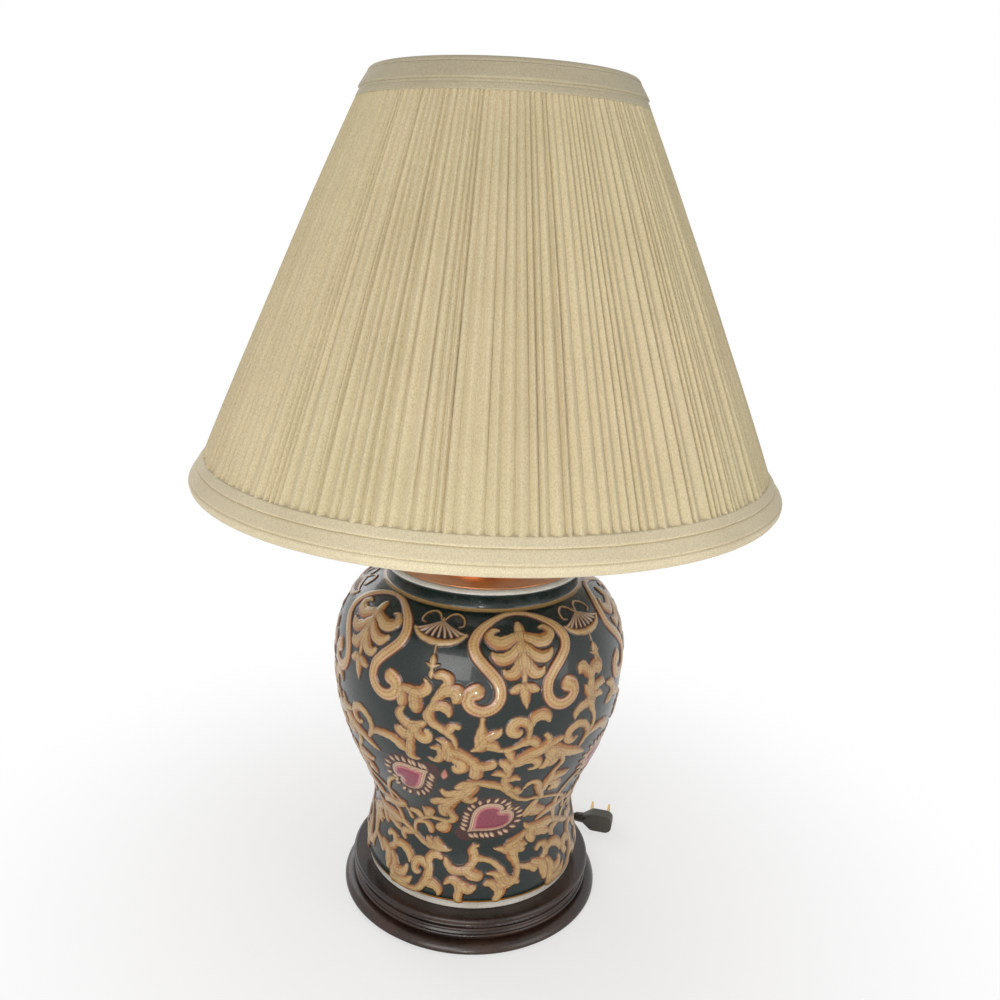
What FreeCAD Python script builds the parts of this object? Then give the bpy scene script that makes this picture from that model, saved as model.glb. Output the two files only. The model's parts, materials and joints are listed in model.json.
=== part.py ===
import FreeCAD, Part
import math
import os

from FreeCAD import Vector

# Table lamp: a glazed ceramic jar on a turned wooden base, with a brass harp and a pleated
# empire shade. Millimetres. The origin is the centre of the underside, +Z is up, and the
# front of the lamp faces -Y. Each function below makes one piece, and the lamp is stacked
# from the table upwards, so a piece's seat is the top of the piece that carries it.

# ---- clearances ----
FIT = 0.3            # loose fit between pieces that move or slide past each other
SEAT = 0.2           # gap between fixed round pieces that nest
HINGE_FIT = 0.08     # running fit of a pin in its hole

# ---- wooden base and felt ----
FELT_T = 1.5
FELT_INSET = 2.5     # felt edge inside the foot's edge
BASE_H = 21.0
BASE_FOOT_R = 86.3   # widest, at the table
BASE_LEDGE_R = 80.7  # the ledge that carries the jar
BASE_COVE_R = 78.2
BEAD_R = 1.25        # radius of the two fine beads
RECESS_R = 30.0      # hollow under the base, for the nut and the cord
RECESS_H = 14.0

# ---- jar: radius and height above its foot ----
JAR_H = 211.5
JAR_WALL = 5.5
JAR_FLOOR = 8.0
FOOT_RING_R = 69.6
FOOT_RING_H = 4.0
FOOT_RING_W = 9.0
FOOT_HOLLOW = 2.5
JAR_HEM_R = 71.0
JAR_HEM_Z = 13.0
JAR_WAIST_R = 66.2
JAR_WAIST_Z = 41.0
JAR_FLANK_R = 80.6
JAR_FLANK_Z = 89.0
JAR_BELLY_R = 93.0
JAR_BELLY_Z = 148.0
JAR_SHOULDER_R = 83.4
JAR_SHOULDER_Z = 186.0
JAR_COLLAR_R = 61.2  # where the shoulder meets the neck
JAR_NECK_R = 62.4    # at the rim
JAR_NECK_H = 11.5

# ---- threaded rod, nuts and washers ----
ROD_R = 4.9
ROD_BORE_R = 3.3
ROD_HOLE_R = ROD_R + FIT
NUT_AF = 15.9
NUT_H = 5.0
WASHER_R = 14.0
WASHER_T = 1.5

# ---- brass cap, spacer and saddle ----
CAP_LIP_R = 58.6
CAP_STEP_R = 42.0
CAP_HUB_R = 13.0
CAP_T = 0.9
CAP_STEP_H = 2.4
CAP_H = 7.0
SPACER_R = 7.5
SPACER_BULB_R = 10.0
SPACER_H = 16.5
SADDLE_W = 13.0
SADDLE_T = 1.5
SADDLE_TAB_W = 4.2
SADDLE_TAB_T = 1.2
SADDLE_TAB_H = 16.0

# ---- harp ----
HARP_H = 241.3       # nine and a half inches, saddle to stud plate
HARP_WIRE_R = 1.6
HARP_LEG_X = 30.6
HARP_LEG_H = 30.0    # straight foot of each leg, in the ferrule
HARP_BOW_X = 52.0    # widest half width
HARP_BOW_Z = 126.0   # height of the widest place above the saddle
HARP_PAD_R = 6.5
HARP_PAD_T = 2.6
FERRULE_H = 12.0
FERRULE_WALL = 0.9
FERRULE_TRAVEL = 12.0

# ---- stud, finial and shade frame ----
STUD_R = 3.1
STUD_SHANK_R = 2.2
STUD_PLATE_R = 8.0
STUD_PLATE_T = 2.0
STUD_L = 10.5
SPIDER_WASHER_R = 10.0
SPIDER_WASHER_T = 1.5
SPIDER_DROP = 13.0   # washer below the top ring
SPIDER_ARMS = 3
SPIDER_WIRE_R = 1.4
RING_WIRE_R = 1.6
FINIAL_H = 14.0
FINIAL_R = 6.0

# ---- shade ----
LINING_TOP_R = 74.8
LINING_BOTTOM_R = 172.5
LINING_H = 228.0
LINING_T = 0.6
LINING_OVER_RING = 1.0   # lining edge above the top ring's centre
PLEATS = 100
PLEAT_TOP_D = 1.3        # fold depths at the top, middle and bottom
PLEAT_MID_D = 2.4
PLEAT_BOTTOM_D = 3.2
PLEAT_BULGE = 2.2        # how far the wall stands out between the bands
PLEAT_LEAN = 0.72        # where the crest lies between two valleys: a knife fold
TOP_BAND_H = 16.0        # top band: narrow strip and wide strip
TOP_STRIP_H = 5.0
BOTTOM_BAND_H = 18.0
BOTTOM_STRIP_H = 4.5
BAND_T = 1.2
BOTTOM_EDGE_R = 177.8    # seven inches: the shade's widest place

# ---- lamp holder ----
HOLDER_CAP_H = 17.0
HOLDER_HUB_R = 7.6
HOLDER_R = 17.5
HOLDER_WALL = 0.5
SHELL_H = 44.0
SHELL_LAP = 4.0          # how far the shell goes into the cap
LINER_T = 0.9
SCREW_R = 13.5           # bore of the screw shell
SCREW_WALL = 0.45
SCREW_H = 24.0
INSULATOR_H = 36.0
CONTACT_R = 3.2
KNOB_Z = 7.5             # knob axis above the insulator's underside
KNOB_R = 5.6
KNOB_L = 13.0
KNOB_SHAFT_R = 1.7
KNOB_GAP = 7.0           # shell to knob

# ---- lamp bulb ----
BULB_R = 30.0
BULB_H = 108.0
BULB_CAP_R = 13.1
BULB_CAP_H = 25.0
BULB_NECK_R = 14.6
BULB_GLASS_T = 0.9
BULB_RIDGES = 5

# ---- lead and plug ----
CORD_R = 2.65
INNER_CORD_R = 2.2
CORD_EXIT_Z = 6.2
RELIEF_L = 21.0
RELIEF_FLANGE_R = 5.4
RELIEF_R = 3.9
COIL_X = 35.2
COIL_Y = 158.0
COIL_MID_R = 33.0
COIL_PITCH = 6.2         # one turn to the next
COIL_RISE = 6.0          # lower layer to upper
COIL_DIP = 0.8           # the climbing half turn draws in by this much
COIL_TURNS = 3.5         # turns in each layer
COIL_END_DEG = -1.0      # where the upper layer lets the lead go
PLUG_X = 78.5
PLUG_Y = 60.0
PLUG_Z = 6.9
PLUG_YAW_DEG = -14.0
PLUG_L = 28.0
PLUG_H = 13.6
PLUG_T = 9.0
PLUG_NECK_R = 3.3
PLUG_CORNER_R = 5.0
BLADE_GAP = 12.7
BLADE_W = 6.35
BLADE_T = 1.5
BLADE_L = 16.0
BLADE_IN = 3.0

# ---- heights, from the table up ----
BASE_TOP = FELT_T + BASE_H
RECESS_TOP = FELT_T + RECESS_H
RIM_Z = BASE_TOP + JAR_H
CAP_TOP = RIM_Z + CAP_H
SADDLE_Z = CAP_TOP + SPACER_H
SADDLE_TOP = SADDLE_Z + SADDLE_T
LOCKNUT_TOP = SADDLE_TOP + 3.0
HARP_TOP = SADDLE_TOP + HARP_H
STUD_TOP_PLATE = HARP_TOP + STUD_PLATE_T
WASHER_TOP = STUD_TOP_PLATE + SPIDER_WASHER_T
RING_Z = STUD_TOP_PLATE + SPIDER_WASHER_T / 2 + SPIDER_DROP
LINING_TOP = RING_Z + LINING_OVER_RING
LINING_BOTTOM = LINING_TOP - LINING_H
HOLDER_Z = LOCKNUT_TOP
SHELL_Z = HOLDER_Z + HOLDER_CAP_H - SHELL_LAP
SHELL_TOP = SHELL_Z + SHELL_H
INSULATOR_Z = SHELL_Z + 6.0
INSULATOR_TOP = INSULATOR_Z + INSULATOR_H
SCREW_Z = INSULATOR_TOP - SCREW_H
ROD_BOTTOM = RECESS_TOP - WASHER_T - NUT_H - 0.3
ROD_TOP = HOLDER_Z + 7.0
COIL_Z = CORD_R + 0.1
RELIEF_TIP_Y = BASE_FOOT_R + RELIEF_L

X = Vector(1, 0, 0)
Y = Vector(0, 1, 0)
Z = Vector(0, 0, 1)
ORIGIN = Vector(0, 0, 0)


# ---- building helpers ----

def outline(start, *steps):
    """A closed face in the XZ plane: each step is a point, or (point on the arc, end)."""
    edges = []
    here = Vector(start[0], 0, start[1])
    first = here
    for step in steps:
        if isinstance(step[0], tuple):
            through = Vector(step[0][0], 0, step[0][1])
            end = Vector(step[1][0], 0, step[1][1])
            edges.append(Part.Arc(here, through, end).toShape())
        else:
            end = Vector(step[0], 0, step[1])
            edges.append(Part.makeLine(here, end))
        here = end
    if here.distanceToPoint(first) > 1e-6:
        edges.append(Part.makeLine(here, first))
    return Part.Face(Part.Wire(edges))


def turned(start, *steps):
    """A solid of revolution about Z from an outline of (radius, height)."""
    return outline(start, *steps).revolve(ORIGIN, Z, 360)


def disc(radius, height, z, hole=0.0, x=0.0, y=0.0):
    solid = Part.makeCylinder(radius, height, Vector(x, y, z))
    if hole:
        solid = solid.cut(Part.makeCylinder(hole, height + 2, Vector(x, y, z - 1)))
    return solid


def hex_nut(across_flats, height, z, hole):
    corner = across_flats / math.sqrt(3)
    points = [Vector(corner * math.cos(a), corner * math.sin(a), z)
              for a in (math.radians(60 * i) for i in range(7))]
    nut = Part.Face(Part.makePolygon(points)).extrude(Vector(0, 0, height))
    chamfer = turned((0, z), (across_flats / 2, z), (corner + 0.01, z + 0.9),
                     (corner + 0.01, z + height - 0.9), (across_flats / 2, z + height), (0, z + height))
    return nut.common(chamfer).cut(Part.makeCylinder(hole, height + 2, Vector(0, 0, z - 1)))


def arc_from(start, direction, end):
    """The arc that leaves start along direction and reaches end."""
    chord = end - start
    along = Vector(chord).normalize()
    cos_half = max(-1.0, min(1.0, along.dot(direction)))
    half = math.acos(cos_half)
    if half < 1e-4:
        return Part.makeLine(start, end)
    side = (direction - along * cos_half).normalize()
    crown = (start + end) * 0.5 + side * (chord.Length / 2 * math.tan(half / 2))
    return Part.Arc(start, crown, end).toShape()


def biarc(start, start_dir, end, end_dir):
    """Two arcs that join two points and meet each other without a corner."""
    gap = end - start
    total = start_dir + end_dir
    spread = 2 * (1 - start_dir.dot(end_dir))
    if spread < 1e-6:
        reach = gap.dot(gap) / (4 * gap.dot(end_dir))
    else:
        reach = (-gap.dot(total) + math.sqrt(gap.dot(total) ** 2 + spread * gap.dot(gap))) / spread
    corner_a = start + start_dir * reach
    corner_b = end - end_dir * reach
    middle = (corner_a + corner_b) * 0.5
    meet = (corner_b - corner_a).normalize()
    return [arc_from(start, start_dir, middle), arc_from(middle, meet, end)]


def tube(edges, radius, start, direction):
    """A round bar along a path that starts at start, heading in direction."""
    circle = Part.Wire(Part.makeCircle(radius, start, direction))
    return Part.Wire(edges).makePipeShell([circle], True, True)


def rounded_route(points, label, radius):
    """Straight runs joined by the largest arcs that the runs allow; prints the arc radii."""
    edges = []
    radii = []
    here = points[0]
    for before, corner, after in zip(points, points[1:], points[2:]):
        run_in = corner - before
        run_out = after - corner
        turn = run_in.getAngle(run_out)
        cut_back = 0.45 * min(run_in.Length, run_out.Length)
        radii.append(cut_back / math.tan(turn / 2))
        arc_start = corner - Vector(run_in).normalize() * cut_back
        arc_end = corner + Vector(run_out).normalize() * cut_back
        edges.append(Part.makeLine(here, arc_start))
        edges.append(arc_from(arc_start, Vector(run_in).normalize(), arc_end))
        here = arc_end
    edges.append(Part.makeLine(here, points[-1]))
    solid = tube(edges, radius, points[0], points[1] - points[0])
    length = sum(edge.Length for edge in edges)
    expected = math.pi * radius ** 2 * length
    print("%s: length %.0f mm, radii %s, volume ratio %.4f"
          % (label, length, [round(r, 1) for r in radii], solid.Volume / expected))
    return solid, length


# ---- base ----

def felt_pad():
    return disc(BASE_FOOT_R - FELT_INSET, FELT_T, 0)


def wood_base():
    top = BASE_TOP
    bead_high = top - 8.6        # heights of the two bead centres
    bead_low = bead_high - 4.0
    waist = bead_low - BEAD_R - 0.8
    bead_x = BASE_LEDGE_R - 1.6
    moulding = turned(
        (0, FELT_T), (BASE_FOOT_R - 1.0, FELT_T), (BASE_FOOT_R, FELT_T + 1.0), (BASE_FOOT_R, FELT_T + 2.2),
        ((BASE_FOOT_R - 1.5, waist - 1.6), (BASE_LEDGE_R + 0.3, waist)),
        (bead_x - 0.4, waist),
        (bead_x - 0.4, bead_low - BEAD_R),
        ((bead_x - 0.4 + BEAD_R, bead_low), (bead_x - 0.4, bead_low + BEAD_R)),
        (bead_x - 1.2, bead_high - BEAD_R),
        ((bead_x - 1.2 + BEAD_R, bead_high), (bead_x - 1.2, bead_high + BEAD_R)),
        ((BASE_COVE_R - 1.4, top - 5.6), (BASE_LEDGE_R - 1.0, top - 3.8)),
        ((BASE_LEDGE_R, top - 2.0), (BASE_LEDGE_R - 1.6, top)),
        (0, top))
    recess = Part.makeCylinder(RECESS_R, RECESS_H, Vector(0, 0, FELT_T))
    rod_hole = Part.makeCylinder(ROD_HOLE_R, BASE_H, Vector(0, 0, FELT_T))
    cord_hole = Part.makeCylinder(RELIEF_R + SEAT, BASE_FOOT_R, Vector(0, 0, CORD_EXIT_Z), Y)
    return moulding.cut(recess).cut(rod_hole).cut(cord_hole)


def base_washer():
    return disc(WASHER_R, WASHER_T, RECESS_TOP - WASHER_T, ROD_HOLE_R)


def base_nut():
    return hex_nut(NUT_AF, NUT_H, RECESS_TOP - WASHER_T - NUT_H, ROD_R + SEAT)


# ---- jar ----

def jar_curve():
    """The jar's outer profile from the foot to the neck."""
    heights = [(JAR_HEM_R - 0.5, FOOT_RING_H + 0.6), (JAR_HEM_R, JAR_HEM_Z), (JAR_WAIST_R, JAR_WAIST_Z),
               (JAR_FLANK_R, JAR_FLANK_Z), (JAR_BELLY_R, JAR_BELLY_Z),
               (JAR_SHOULDER_R, JAR_SHOULDER_Z), (JAR_COLLAR_R, JAR_H - JAR_NECK_H)]
    curve = Part.BSplineCurve()
    curve.interpolate([Vector(r, 0, BASE_TOP + z) for r, z in heights])
    return curve


def inner_curve(curve, wall, top, samples=14):
    """The same profile moved inwards by the wall, run downwards from the neck to the floor."""
    points = []
    for i in range(samples):
        place = curve.FirstParameter + (curve.LastParameter - curve.FirstParameter) * (1 - i / (samples - 1))
        along = Vector(curve.tangent(place)[0])
        points.append(curve.value(place) + Vector(-along.z, 0, along.x) * wall)
    floor = BASE_TOP + JAR_FLOOR
    inside = [p for p in points if floor + 2.0 < p.z < top - 1.0]
    bore = Vector(JAR_NECK_R - JAR_WALL, 0, top)
    inner = Part.BSplineCurve()
    inner.interpolate([bore] + inside)
    return inner, inside[-1]


def ceramic_jar():
    outer = jar_curve()
    start = outer.StartPoint
    collar = outer.EndPoint
    rim = JAR_WALL / 2
    throat = RIM_Z - JAR_NECK_H - 1.0
    inner, low = inner_curve(outer, JAR_WALL, throat)
    floor = BASE_TOP + JAR_FLOOR
    bore = JAR_NECK_R - JAR_WALL
    foot = [(ROD_HOLE_R + SEAT, BASE_TOP + FOOT_HOLLOW),
            (FOOT_RING_R - FOOT_RING_W, BASE_TOP + FOOT_HOLLOW),
            (FOOT_RING_R - FOOT_RING_W + FOOT_HOLLOW, BASE_TOP),
            (FOOT_RING_R - 0.6, BASE_TOP), (FOOT_RING_R, BASE_TOP + 0.6),
            (FOOT_RING_R, BASE_TOP + FOOT_RING_H), (start.x, start.z)]
    edges = [Part.makeLine(Vector(a[0], 0, a[1]), Vector(b[0], 0, b[1])) for a, b in zip(foot, foot[1:])]
    edges.append(outer.toShape())
    neck_top = Vector(JAR_NECK_R, 0, RIM_Z - rim)
    bore_top = Vector(bore, 0, RIM_Z - rim)
    edges.append(Part.Arc(collar, Vector(JAR_COLLAR_R - 0.2, 0, collar.z + 2.5), neck_top).toShape())
    edges.append(arc_from(neck_top, Z, Vector(JAR_NECK_R - rim, 0, RIM_Z)))
    edges.append(Part.makeLine(Vector(JAR_NECK_R - rim, 0, RIM_Z), Vector(bore + 0.8, 0, RIM_Z)))
    edges.append(Part.makeLine(Vector(bore + 0.8, 0, RIM_Z), bore_top))
    edges.append(Part.makeLine(bore_top, inner.StartPoint))
    edges.append(inner.toShape())
    edges.append(Part.makeLine(low, Vector(low.x - 6.0, 0, floor)))
    edges.append(Part.makeLine(Vector(low.x - 6.0, 0, floor), Vector(ROD_HOLE_R + SEAT, 0, floor)))
    edges.append(Part.makeLine(Vector(ROD_HOLE_R + SEAT, 0, floor), Vector(foot[0][0], 0, foot[0][1])))
    return Part.Face(Part.Wire(edges)).revolve(ORIGIN, Z, 360)


# ---- rod, cap, spacer, saddle ----

def threaded_rod():
    return disc(ROD_R, ROD_TOP - ROD_BOTTOM, ROD_BOTTOM, ROD_BORE_R)


def vase_cap():
    """A spun brass cap: a lip on the rim, a skirt inside the neck and a stepped dome."""
    skirt_r = JAR_NECK_R - JAR_WALL - SEAT - 0.3
    step = RIM_Z + CAP_STEP_H
    return turned(
        (ROD_HOLE_R, CAP_TOP - CAP_T - 1.0), (CAP_HUB_R - CAP_T, CAP_TOP - CAP_T - 1.0),
        ((CAP_STEP_R - 16.0, step + 0.2), (CAP_STEP_R - CAP_T, step - CAP_T)),
        (CAP_STEP_R - CAP_T, RIM_Z), (skirt_r - CAP_T, RIM_Z), (skirt_r - CAP_T, RIM_Z - 6.0),
        (skirt_r, RIM_Z - 6.0), (skirt_r, RIM_Z), (CAP_LIP_R, RIM_Z),
        ((CAP_LIP_R + 0.3, RIM_Z + CAP_T / 2), (CAP_LIP_R, RIM_Z + CAP_T)),
        (CAP_STEP_R, RIM_Z + CAP_T), (CAP_STEP_R, step),
        ((CAP_STEP_R - 15.0, step + 1.2), (CAP_HUB_R, CAP_TOP - 1.0)),
        (CAP_HUB_R - 1.0, CAP_TOP), (ROD_HOLE_R, CAP_TOP))


def neck_spacer():
    middle = CAP_TOP + SPACER_H / 2
    return turned(
        (ROD_HOLE_R, CAP_TOP), (SPACER_BULB_R, CAP_TOP), (SPACER_BULB_R, CAP_TOP + 2.0),
        ((SPACER_R - 1.2, CAP_TOP + 4.5), (SPACER_R, middle - 1.5)),
        ((SPACER_BULB_R - 0.5, middle + 0.5), (SPACER_R, middle + 2.5)),
        (SPACER_R, SADDLE_Z - 2.0), (SPACER_BULB_R - 1.0, SADDLE_Z - 1.2), (SPACER_BULB_R - 1.0, SADDLE_Z),
        (ROD_HOLE_R, SADDLE_Z))


def harp_saddle():
    """A flat strip on the rod whose narrow ends turn up beside the harp's legs."""
    tab_x = HARP_LEG_X - HARP_WIRE_R - FIT - SADDLE_TAB_T
    reach = ferrule_x() + ferrule_outer_r()
    strip = Part.makeBox(2 * reach, SADDLE_W, SADDLE_T, Vector(-reach, -SADDLE_W / 2, SADDLE_Z))
    ends = Part.makeCylinder(reach, SADDLE_T, Vector(0, 0, SADDLE_Z))
    saddle = strip.common(ends)
    for side in (-1, 1):
        low = min(side * tab_x, side * (tab_x + SADDLE_TAB_T))
        tab = Part.makeBox(SADDLE_TAB_T, SADDLE_TAB_W, SADDLE_TAB_H + SADDLE_T,
                           Vector(low, -SADDLE_TAB_W / 2, SADDLE_Z))
        saddle = saddle.fuse(tab)
    return saddle.removeSplitter().cut(Part.makeCylinder(ROD_HOLE_R, 10, Vector(0, 0, SADDLE_Z - 5)))


def saddle_locknut():
    return hex_nut(NUT_AF, LOCKNUT_TOP - SADDLE_TOP, SADDLE_TOP, ROD_R + SEAT)


# ---- harp ----

def ferrule_x():
    """The ferrule goes round the saddle's tab and the harp's leg together."""
    return HARP_LEG_X - (FIT + SADDLE_TAB_T) / 2


def ferrule_outer_r():
    return ferrule_bore_r() + FERRULE_WALL


def ferrule_bore_r():
    half_x = (SADDLE_TAB_T + FIT + 2 * HARP_WIRE_R) / 2
    return math.hypot(half_x, SADDLE_TAB_W / 2) + FIT


def harp():
    """A bowed wire with straight feet and a pierced pad at its crown."""
    foot = Vector(HARP_LEG_X, 0, SADDLE_TOP + FIT)
    knee = Vector(HARP_LEG_X, 0, SADDLE_TOP + HARP_LEG_H)
    bow = Vector(HARP_BOW_X, 0, SADDLE_TOP + HARP_BOW_Z)
    crown = Vector(0, 0, HARP_TOP - HARP_PAD_T / 2)
    half = [Part.makeLine(foot, knee)] + biarc(knee, Z, bow, Z) + biarc(bow, Z, crown, -X)
    left = [edge.mirror(ORIGIN, X) for edge in half]
    wire = tube(half + left[::-1], HARP_WIRE_R, foot, Z)
    pad = disc(HARP_PAD_R, HARP_PAD_T, HARP_TOP - HARP_PAD_T)
    hole = Part.makeCylinder(STUD_SHANK_R + HINGE_FIT, 12, Vector(0, 0, HARP_TOP - 9))
    trim = Part.makeCylinder(HARP_PAD_R, 4, Vector(0, 0, HARP_TOP))
    trim_low = Part.makeCylinder(HARP_PAD_R, 4, Vector(0, 0, HARP_TOP - HARP_PAD_T - 4))
    return wire.fuse(pad).cut(hole).cut(trim).cut(trim_low)


def harp_ferrule(side):
    x = side * ferrule_x()
    low = SADDLE_TOP + FIT
    bead = ferrule_outer_r() + 0.5
    body = disc(ferrule_outer_r(), FERRULE_H, low, x=x)
    lip = disc(bead, 1.4, low + FERRULE_H - 1.4, x=x)
    bore = Part.makeCylinder(ferrule_bore_r(), FERRULE_H + 2, Vector(x, 0, low - 1))
    return body.fuse(lip).removeSplitter().cut(bore)


def harp_stud():
    """A swivelling stud: rivet head under the pad, plate above it, threaded post on top."""
    under = HARP_TOP - HARP_PAD_T - 0.1
    return turned(
        (0, under - 2.0), (STUD_SHANK_R + 0.8, under - 2.0), (STUD_SHANK_R + 1.8, under),
        (STUD_SHANK_R, under), (STUD_SHANK_R, HARP_TOP), (STUD_PLATE_R, HARP_TOP),
        (STUD_PLATE_R, STUD_TOP_PLATE), (STUD_R, STUD_TOP_PLATE),
        (STUD_R, STUD_TOP_PLATE + STUD_L - 0.8), (STUD_R - 0.8, STUD_TOP_PLATE + STUD_L),
        (0, STUD_TOP_PLATE + STUD_L))


def finial():
    """A ball on a waisted neck, bored for the stud."""
    seat = WASHER_TOP
    top = seat + FINIAL_H
    centre = top - FINIAL_R
    neck_r = FINIAL_R * 0.72
    neck_z = centre - math.sqrt(FINIAL_R ** 2 - neck_r ** 2)
    brow = math.radians(20)
    knob = turned(
        (0, seat), (FINIAL_R + 0.8, seat), (FINIAL_R + 0.8, seat + 1.2),
        ((neck_r - 0.2, (seat + 1.2 + neck_z) / 2), (neck_r, neck_z)),
        ((FINIAL_R * math.cos(brow), centre + FINIAL_R * math.sin(brow)), (0, top)))
    bore_h = STUD_TOP_PLATE + STUD_L + 0.6 - seat
    return knob.cut(Part.makeCylinder(STUD_R + HINGE_FIT, bore_h + 1, Vector(0, 0, seat - 1)))


# ---- shade ----

def lining_r(z):
    """Outer radius of the lining at a height."""
    slope = (LINING_BOTTOM_R - LINING_TOP_R) / LINING_H
    return LINING_TOP_R + (LINING_TOP - z) * slope


def shade_spider():
    """Top ring with three dropped arms that carry the washer."""
    ring_r = LINING_TOP_R - LINING_T - SEAT - SPIDER_WIRE_R
    pieces = [Part.makeTorus(ring_r, SPIDER_WIRE_R, Vector(0, 0, RING_Z), Z)]
    hub_z = STUD_TOP_PLATE + SPIDER_WASHER_T / 2 + 0.3
    for i in range(SPIDER_ARMS):
        angle = math.radians(90 + 360 / SPIDER_ARMS * i)
        out = Vector(math.cos(angle), math.sin(angle), 0)
        inner = out * (SPIDER_WASHER_R - 2.0) + Vector(0, 0, hub_z)
        knee = out * (ring_r * 0.45) + Vector(0, 0, hub_z)
        outer = out * (ring_r - SPIDER_WIRE_R / 3) + Vector(0, 0, RING_Z)
        low = knee - out * 8.0
        high = knee + (outer - knee).normalize() * 8.0
        arm = [Part.makeLine(inner, low), arc_from(low, out, high), Part.makeLine(high, outer)]
        pieces.append(tube(arm, SPIDER_WIRE_R, inner, out))
    frame = disc(SPIDER_WASHER_R, SPIDER_WASHER_T, STUD_TOP_PLATE).fuse(pieces)
    bore = Part.makeCylinder(STUD_R + FIT, 10, Vector(0, 0, STUD_TOP_PLATE - 5))
    under = Part.makeCylinder(SPIDER_WASHER_R, 4, Vector(0, 0, STUD_TOP_PLATE - 4))
    over = Part.makeCylinder(FINIAL_R + 2.0, 4, Vector(0, 0, WASHER_TOP))
    return frame.cut(bore).cut(under).cut(over)


def shade_bottom_ring():
    z = LINING_BOTTOM + RING_WIRE_R
    ring_r = lining_r(z) - LINING_T - SEAT - RING_WIRE_R
    return Part.makeTorus(ring_r - 0.3, RING_WIRE_R, Vector(0, 0, z), Z)


def shade_lining():
    return turned(
        (LINING_TOP_R - LINING_T, LINING_TOP), (LINING_TOP_R, LINING_TOP),
        (LINING_BOTTOM_R, LINING_BOTTOM), (LINING_BOTTOM_R - LINING_T, LINING_BOTTOM))


def pleat_section(z, swell, depth):
    """One level of the pleated cloth: valleys near the lining, crests a fold depth outside."""
    valley_r = (lining_r(z) + SEAT + 0.35 + swell) / math.cos(math.pi / PLEATS)
    points = []
    for i in range(PLEATS):
        valley = 2 * math.pi * i / PLEATS
        crest = valley + 2 * math.pi * PLEAT_LEAN / PLEATS
        points.append(Vector(valley_r * math.cos(valley), valley_r * math.sin(valley), z))
        crest_r = valley_r + depth
        points.append(Vector(crest_r * math.cos(crest), crest_r * math.sin(crest), z))
    return Part.makePolygon(points + points[:1])


def shade_pleats():
    """The pleated cloth over the lining, swelling a little between the two bands."""
    top = LINING_TOP - TOP_BAND_H + 2.0 - 0.2
    bottom = LINING_BOTTOM + BOTTOM_BAND_H - 4.0 + 0.2
    middle = (top + bottom) / 2
    levels = [(bottom, 0.0, PLEAT_BOTTOM_D), (middle, PLEAT_BULGE, PLEAT_MID_D), (top, 0.0, PLEAT_TOP_D)]
    skin = Part.makeLoft([pleat_section(z, swell, depth) for z, swell, depth in levels], True, True)
    core = turned((0, bottom - 1), (lining_r(bottom - 1) + SEAT, bottom - 1),
                  (lining_r(top + 1) + SEAT, top + 1), (0, top + 1))
    return skin.cut(core)


def shade_top_trim():
    """Folded band: a narrow strip below a wide one, rolled inwards over the top ring."""
    low = LINING_TOP - TOP_BAND_H + 2.0
    seam = low + TOP_STRIP_H
    face = SEAT + BAND_T
    under = RING_Z + SPIDER_WIRE_R + SEAT
    roll = under + BAND_T
    ring_in = LINING_TOP_R - LINING_T - SEAT - 2 * SPIDER_WIRE_R
    return turned(
        (lining_r(low) + SEAT, low), (lining_r(low) + face + 0.5, low),
        (lining_r(seam) + face + 0.7, seam - 0.7), (lining_r(seam) + face - 0.1, seam),
        (lining_r(seam) + face + 1.0, seam + 0.7), (LINING_TOP_R + face, LINING_TOP - 0.6),
        ((LINING_TOP_R - 0.2, roll - 0.3), (LINING_TOP_R - 2.6, roll)),
        ((ring_in - 0.3, roll - 0.5), (ring_in - 0.6, under)),
        (LINING_TOP_R + SEAT, under), (LINING_TOP_R + SEAT, LINING_TOP))


def shade_bottom_trim():
    """Folded band at the foot of the shade: narrow strip, wide strip and a rolled hem."""
    high = LINING_BOTTOM + BOTTOM_BAND_H - 4.0
    seam = high - BOTTOM_STRIP_H
    edge = BOTTOM_EDGE_R
    under = LINING_BOTTOM - SEAT
    ring_in = LINING_BOTTOM_R - LINING_T - 2 * SEAT - 2 * RING_WIRE_R - 1.6
    return turned(
        (lining_r(high) + SEAT, high), (lining_r(high) + SEAT + 3.0, high),
        (lining_r(seam) + SEAT + 4.2, seam + 0.7), (lining_r(seam) + SEAT + 3.4, seam),
        (lining_r(seam) + SEAT + 4.6, seam - 0.7), (edge - 0.6, LINING_BOTTOM + 3.4),
        (edge - 1.2, LINING_BOTTOM + 2.7), (edge, LINING_BOTTOM + 2.0),
        ((edge - 0.9, LINING_BOTTOM - 2.0), (edge - 4.2, LINING_BOTTOM - 3.6)),
        ((ring_in + 0.2, LINING_BOTTOM - 2.6), (ring_in - 1.2, LINING_BOTTOM + 0.6)),
        (ring_in - 1.2, LINING_BOTTOM + 5.0), (ring_in, LINING_BOTTOM + 5.0),
        (ring_in, under - 0.3), (LINING_BOTTOM_R + SEAT, under - 0.3),
        (LINING_BOTTOM_R + SEAT, LINING_BOTTOM))


# ---- lamp holder ----

def socket_cap():
    """Brass cap with a threaded hub, screwed down on the rod."""
    bottom = HOLDER_Z
    rim = HOLDER_Z + HOLDER_CAP_H
    wall = 0.8
    outer = HOLDER_R + wall + SEAT
    return turned(
        (ROD_R + SEAT, bottom), (HOLDER_HUB_R, bottom), (HOLDER_HUB_R, bottom + 4.0),
        ((outer - 3.0, bottom + 7.0), (outer, bottom + 12.0)),
        (outer, rim), (outer - wall, rim), (outer - wall, bottom + 12.0),
        ((outer - 3.6, bottom + 8.0), (HOLDER_HUB_R, bottom + 5.0)),
        (HOLDER_HUB_R - wall, bottom + 8.0), (ROD_R + SEAT, bottom + 8.0))


def shell_bore():
    return HOLDER_R - HOLDER_WALL


def knob_axis_z():
    return INSULATOR_Z + KNOB_Z


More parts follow.
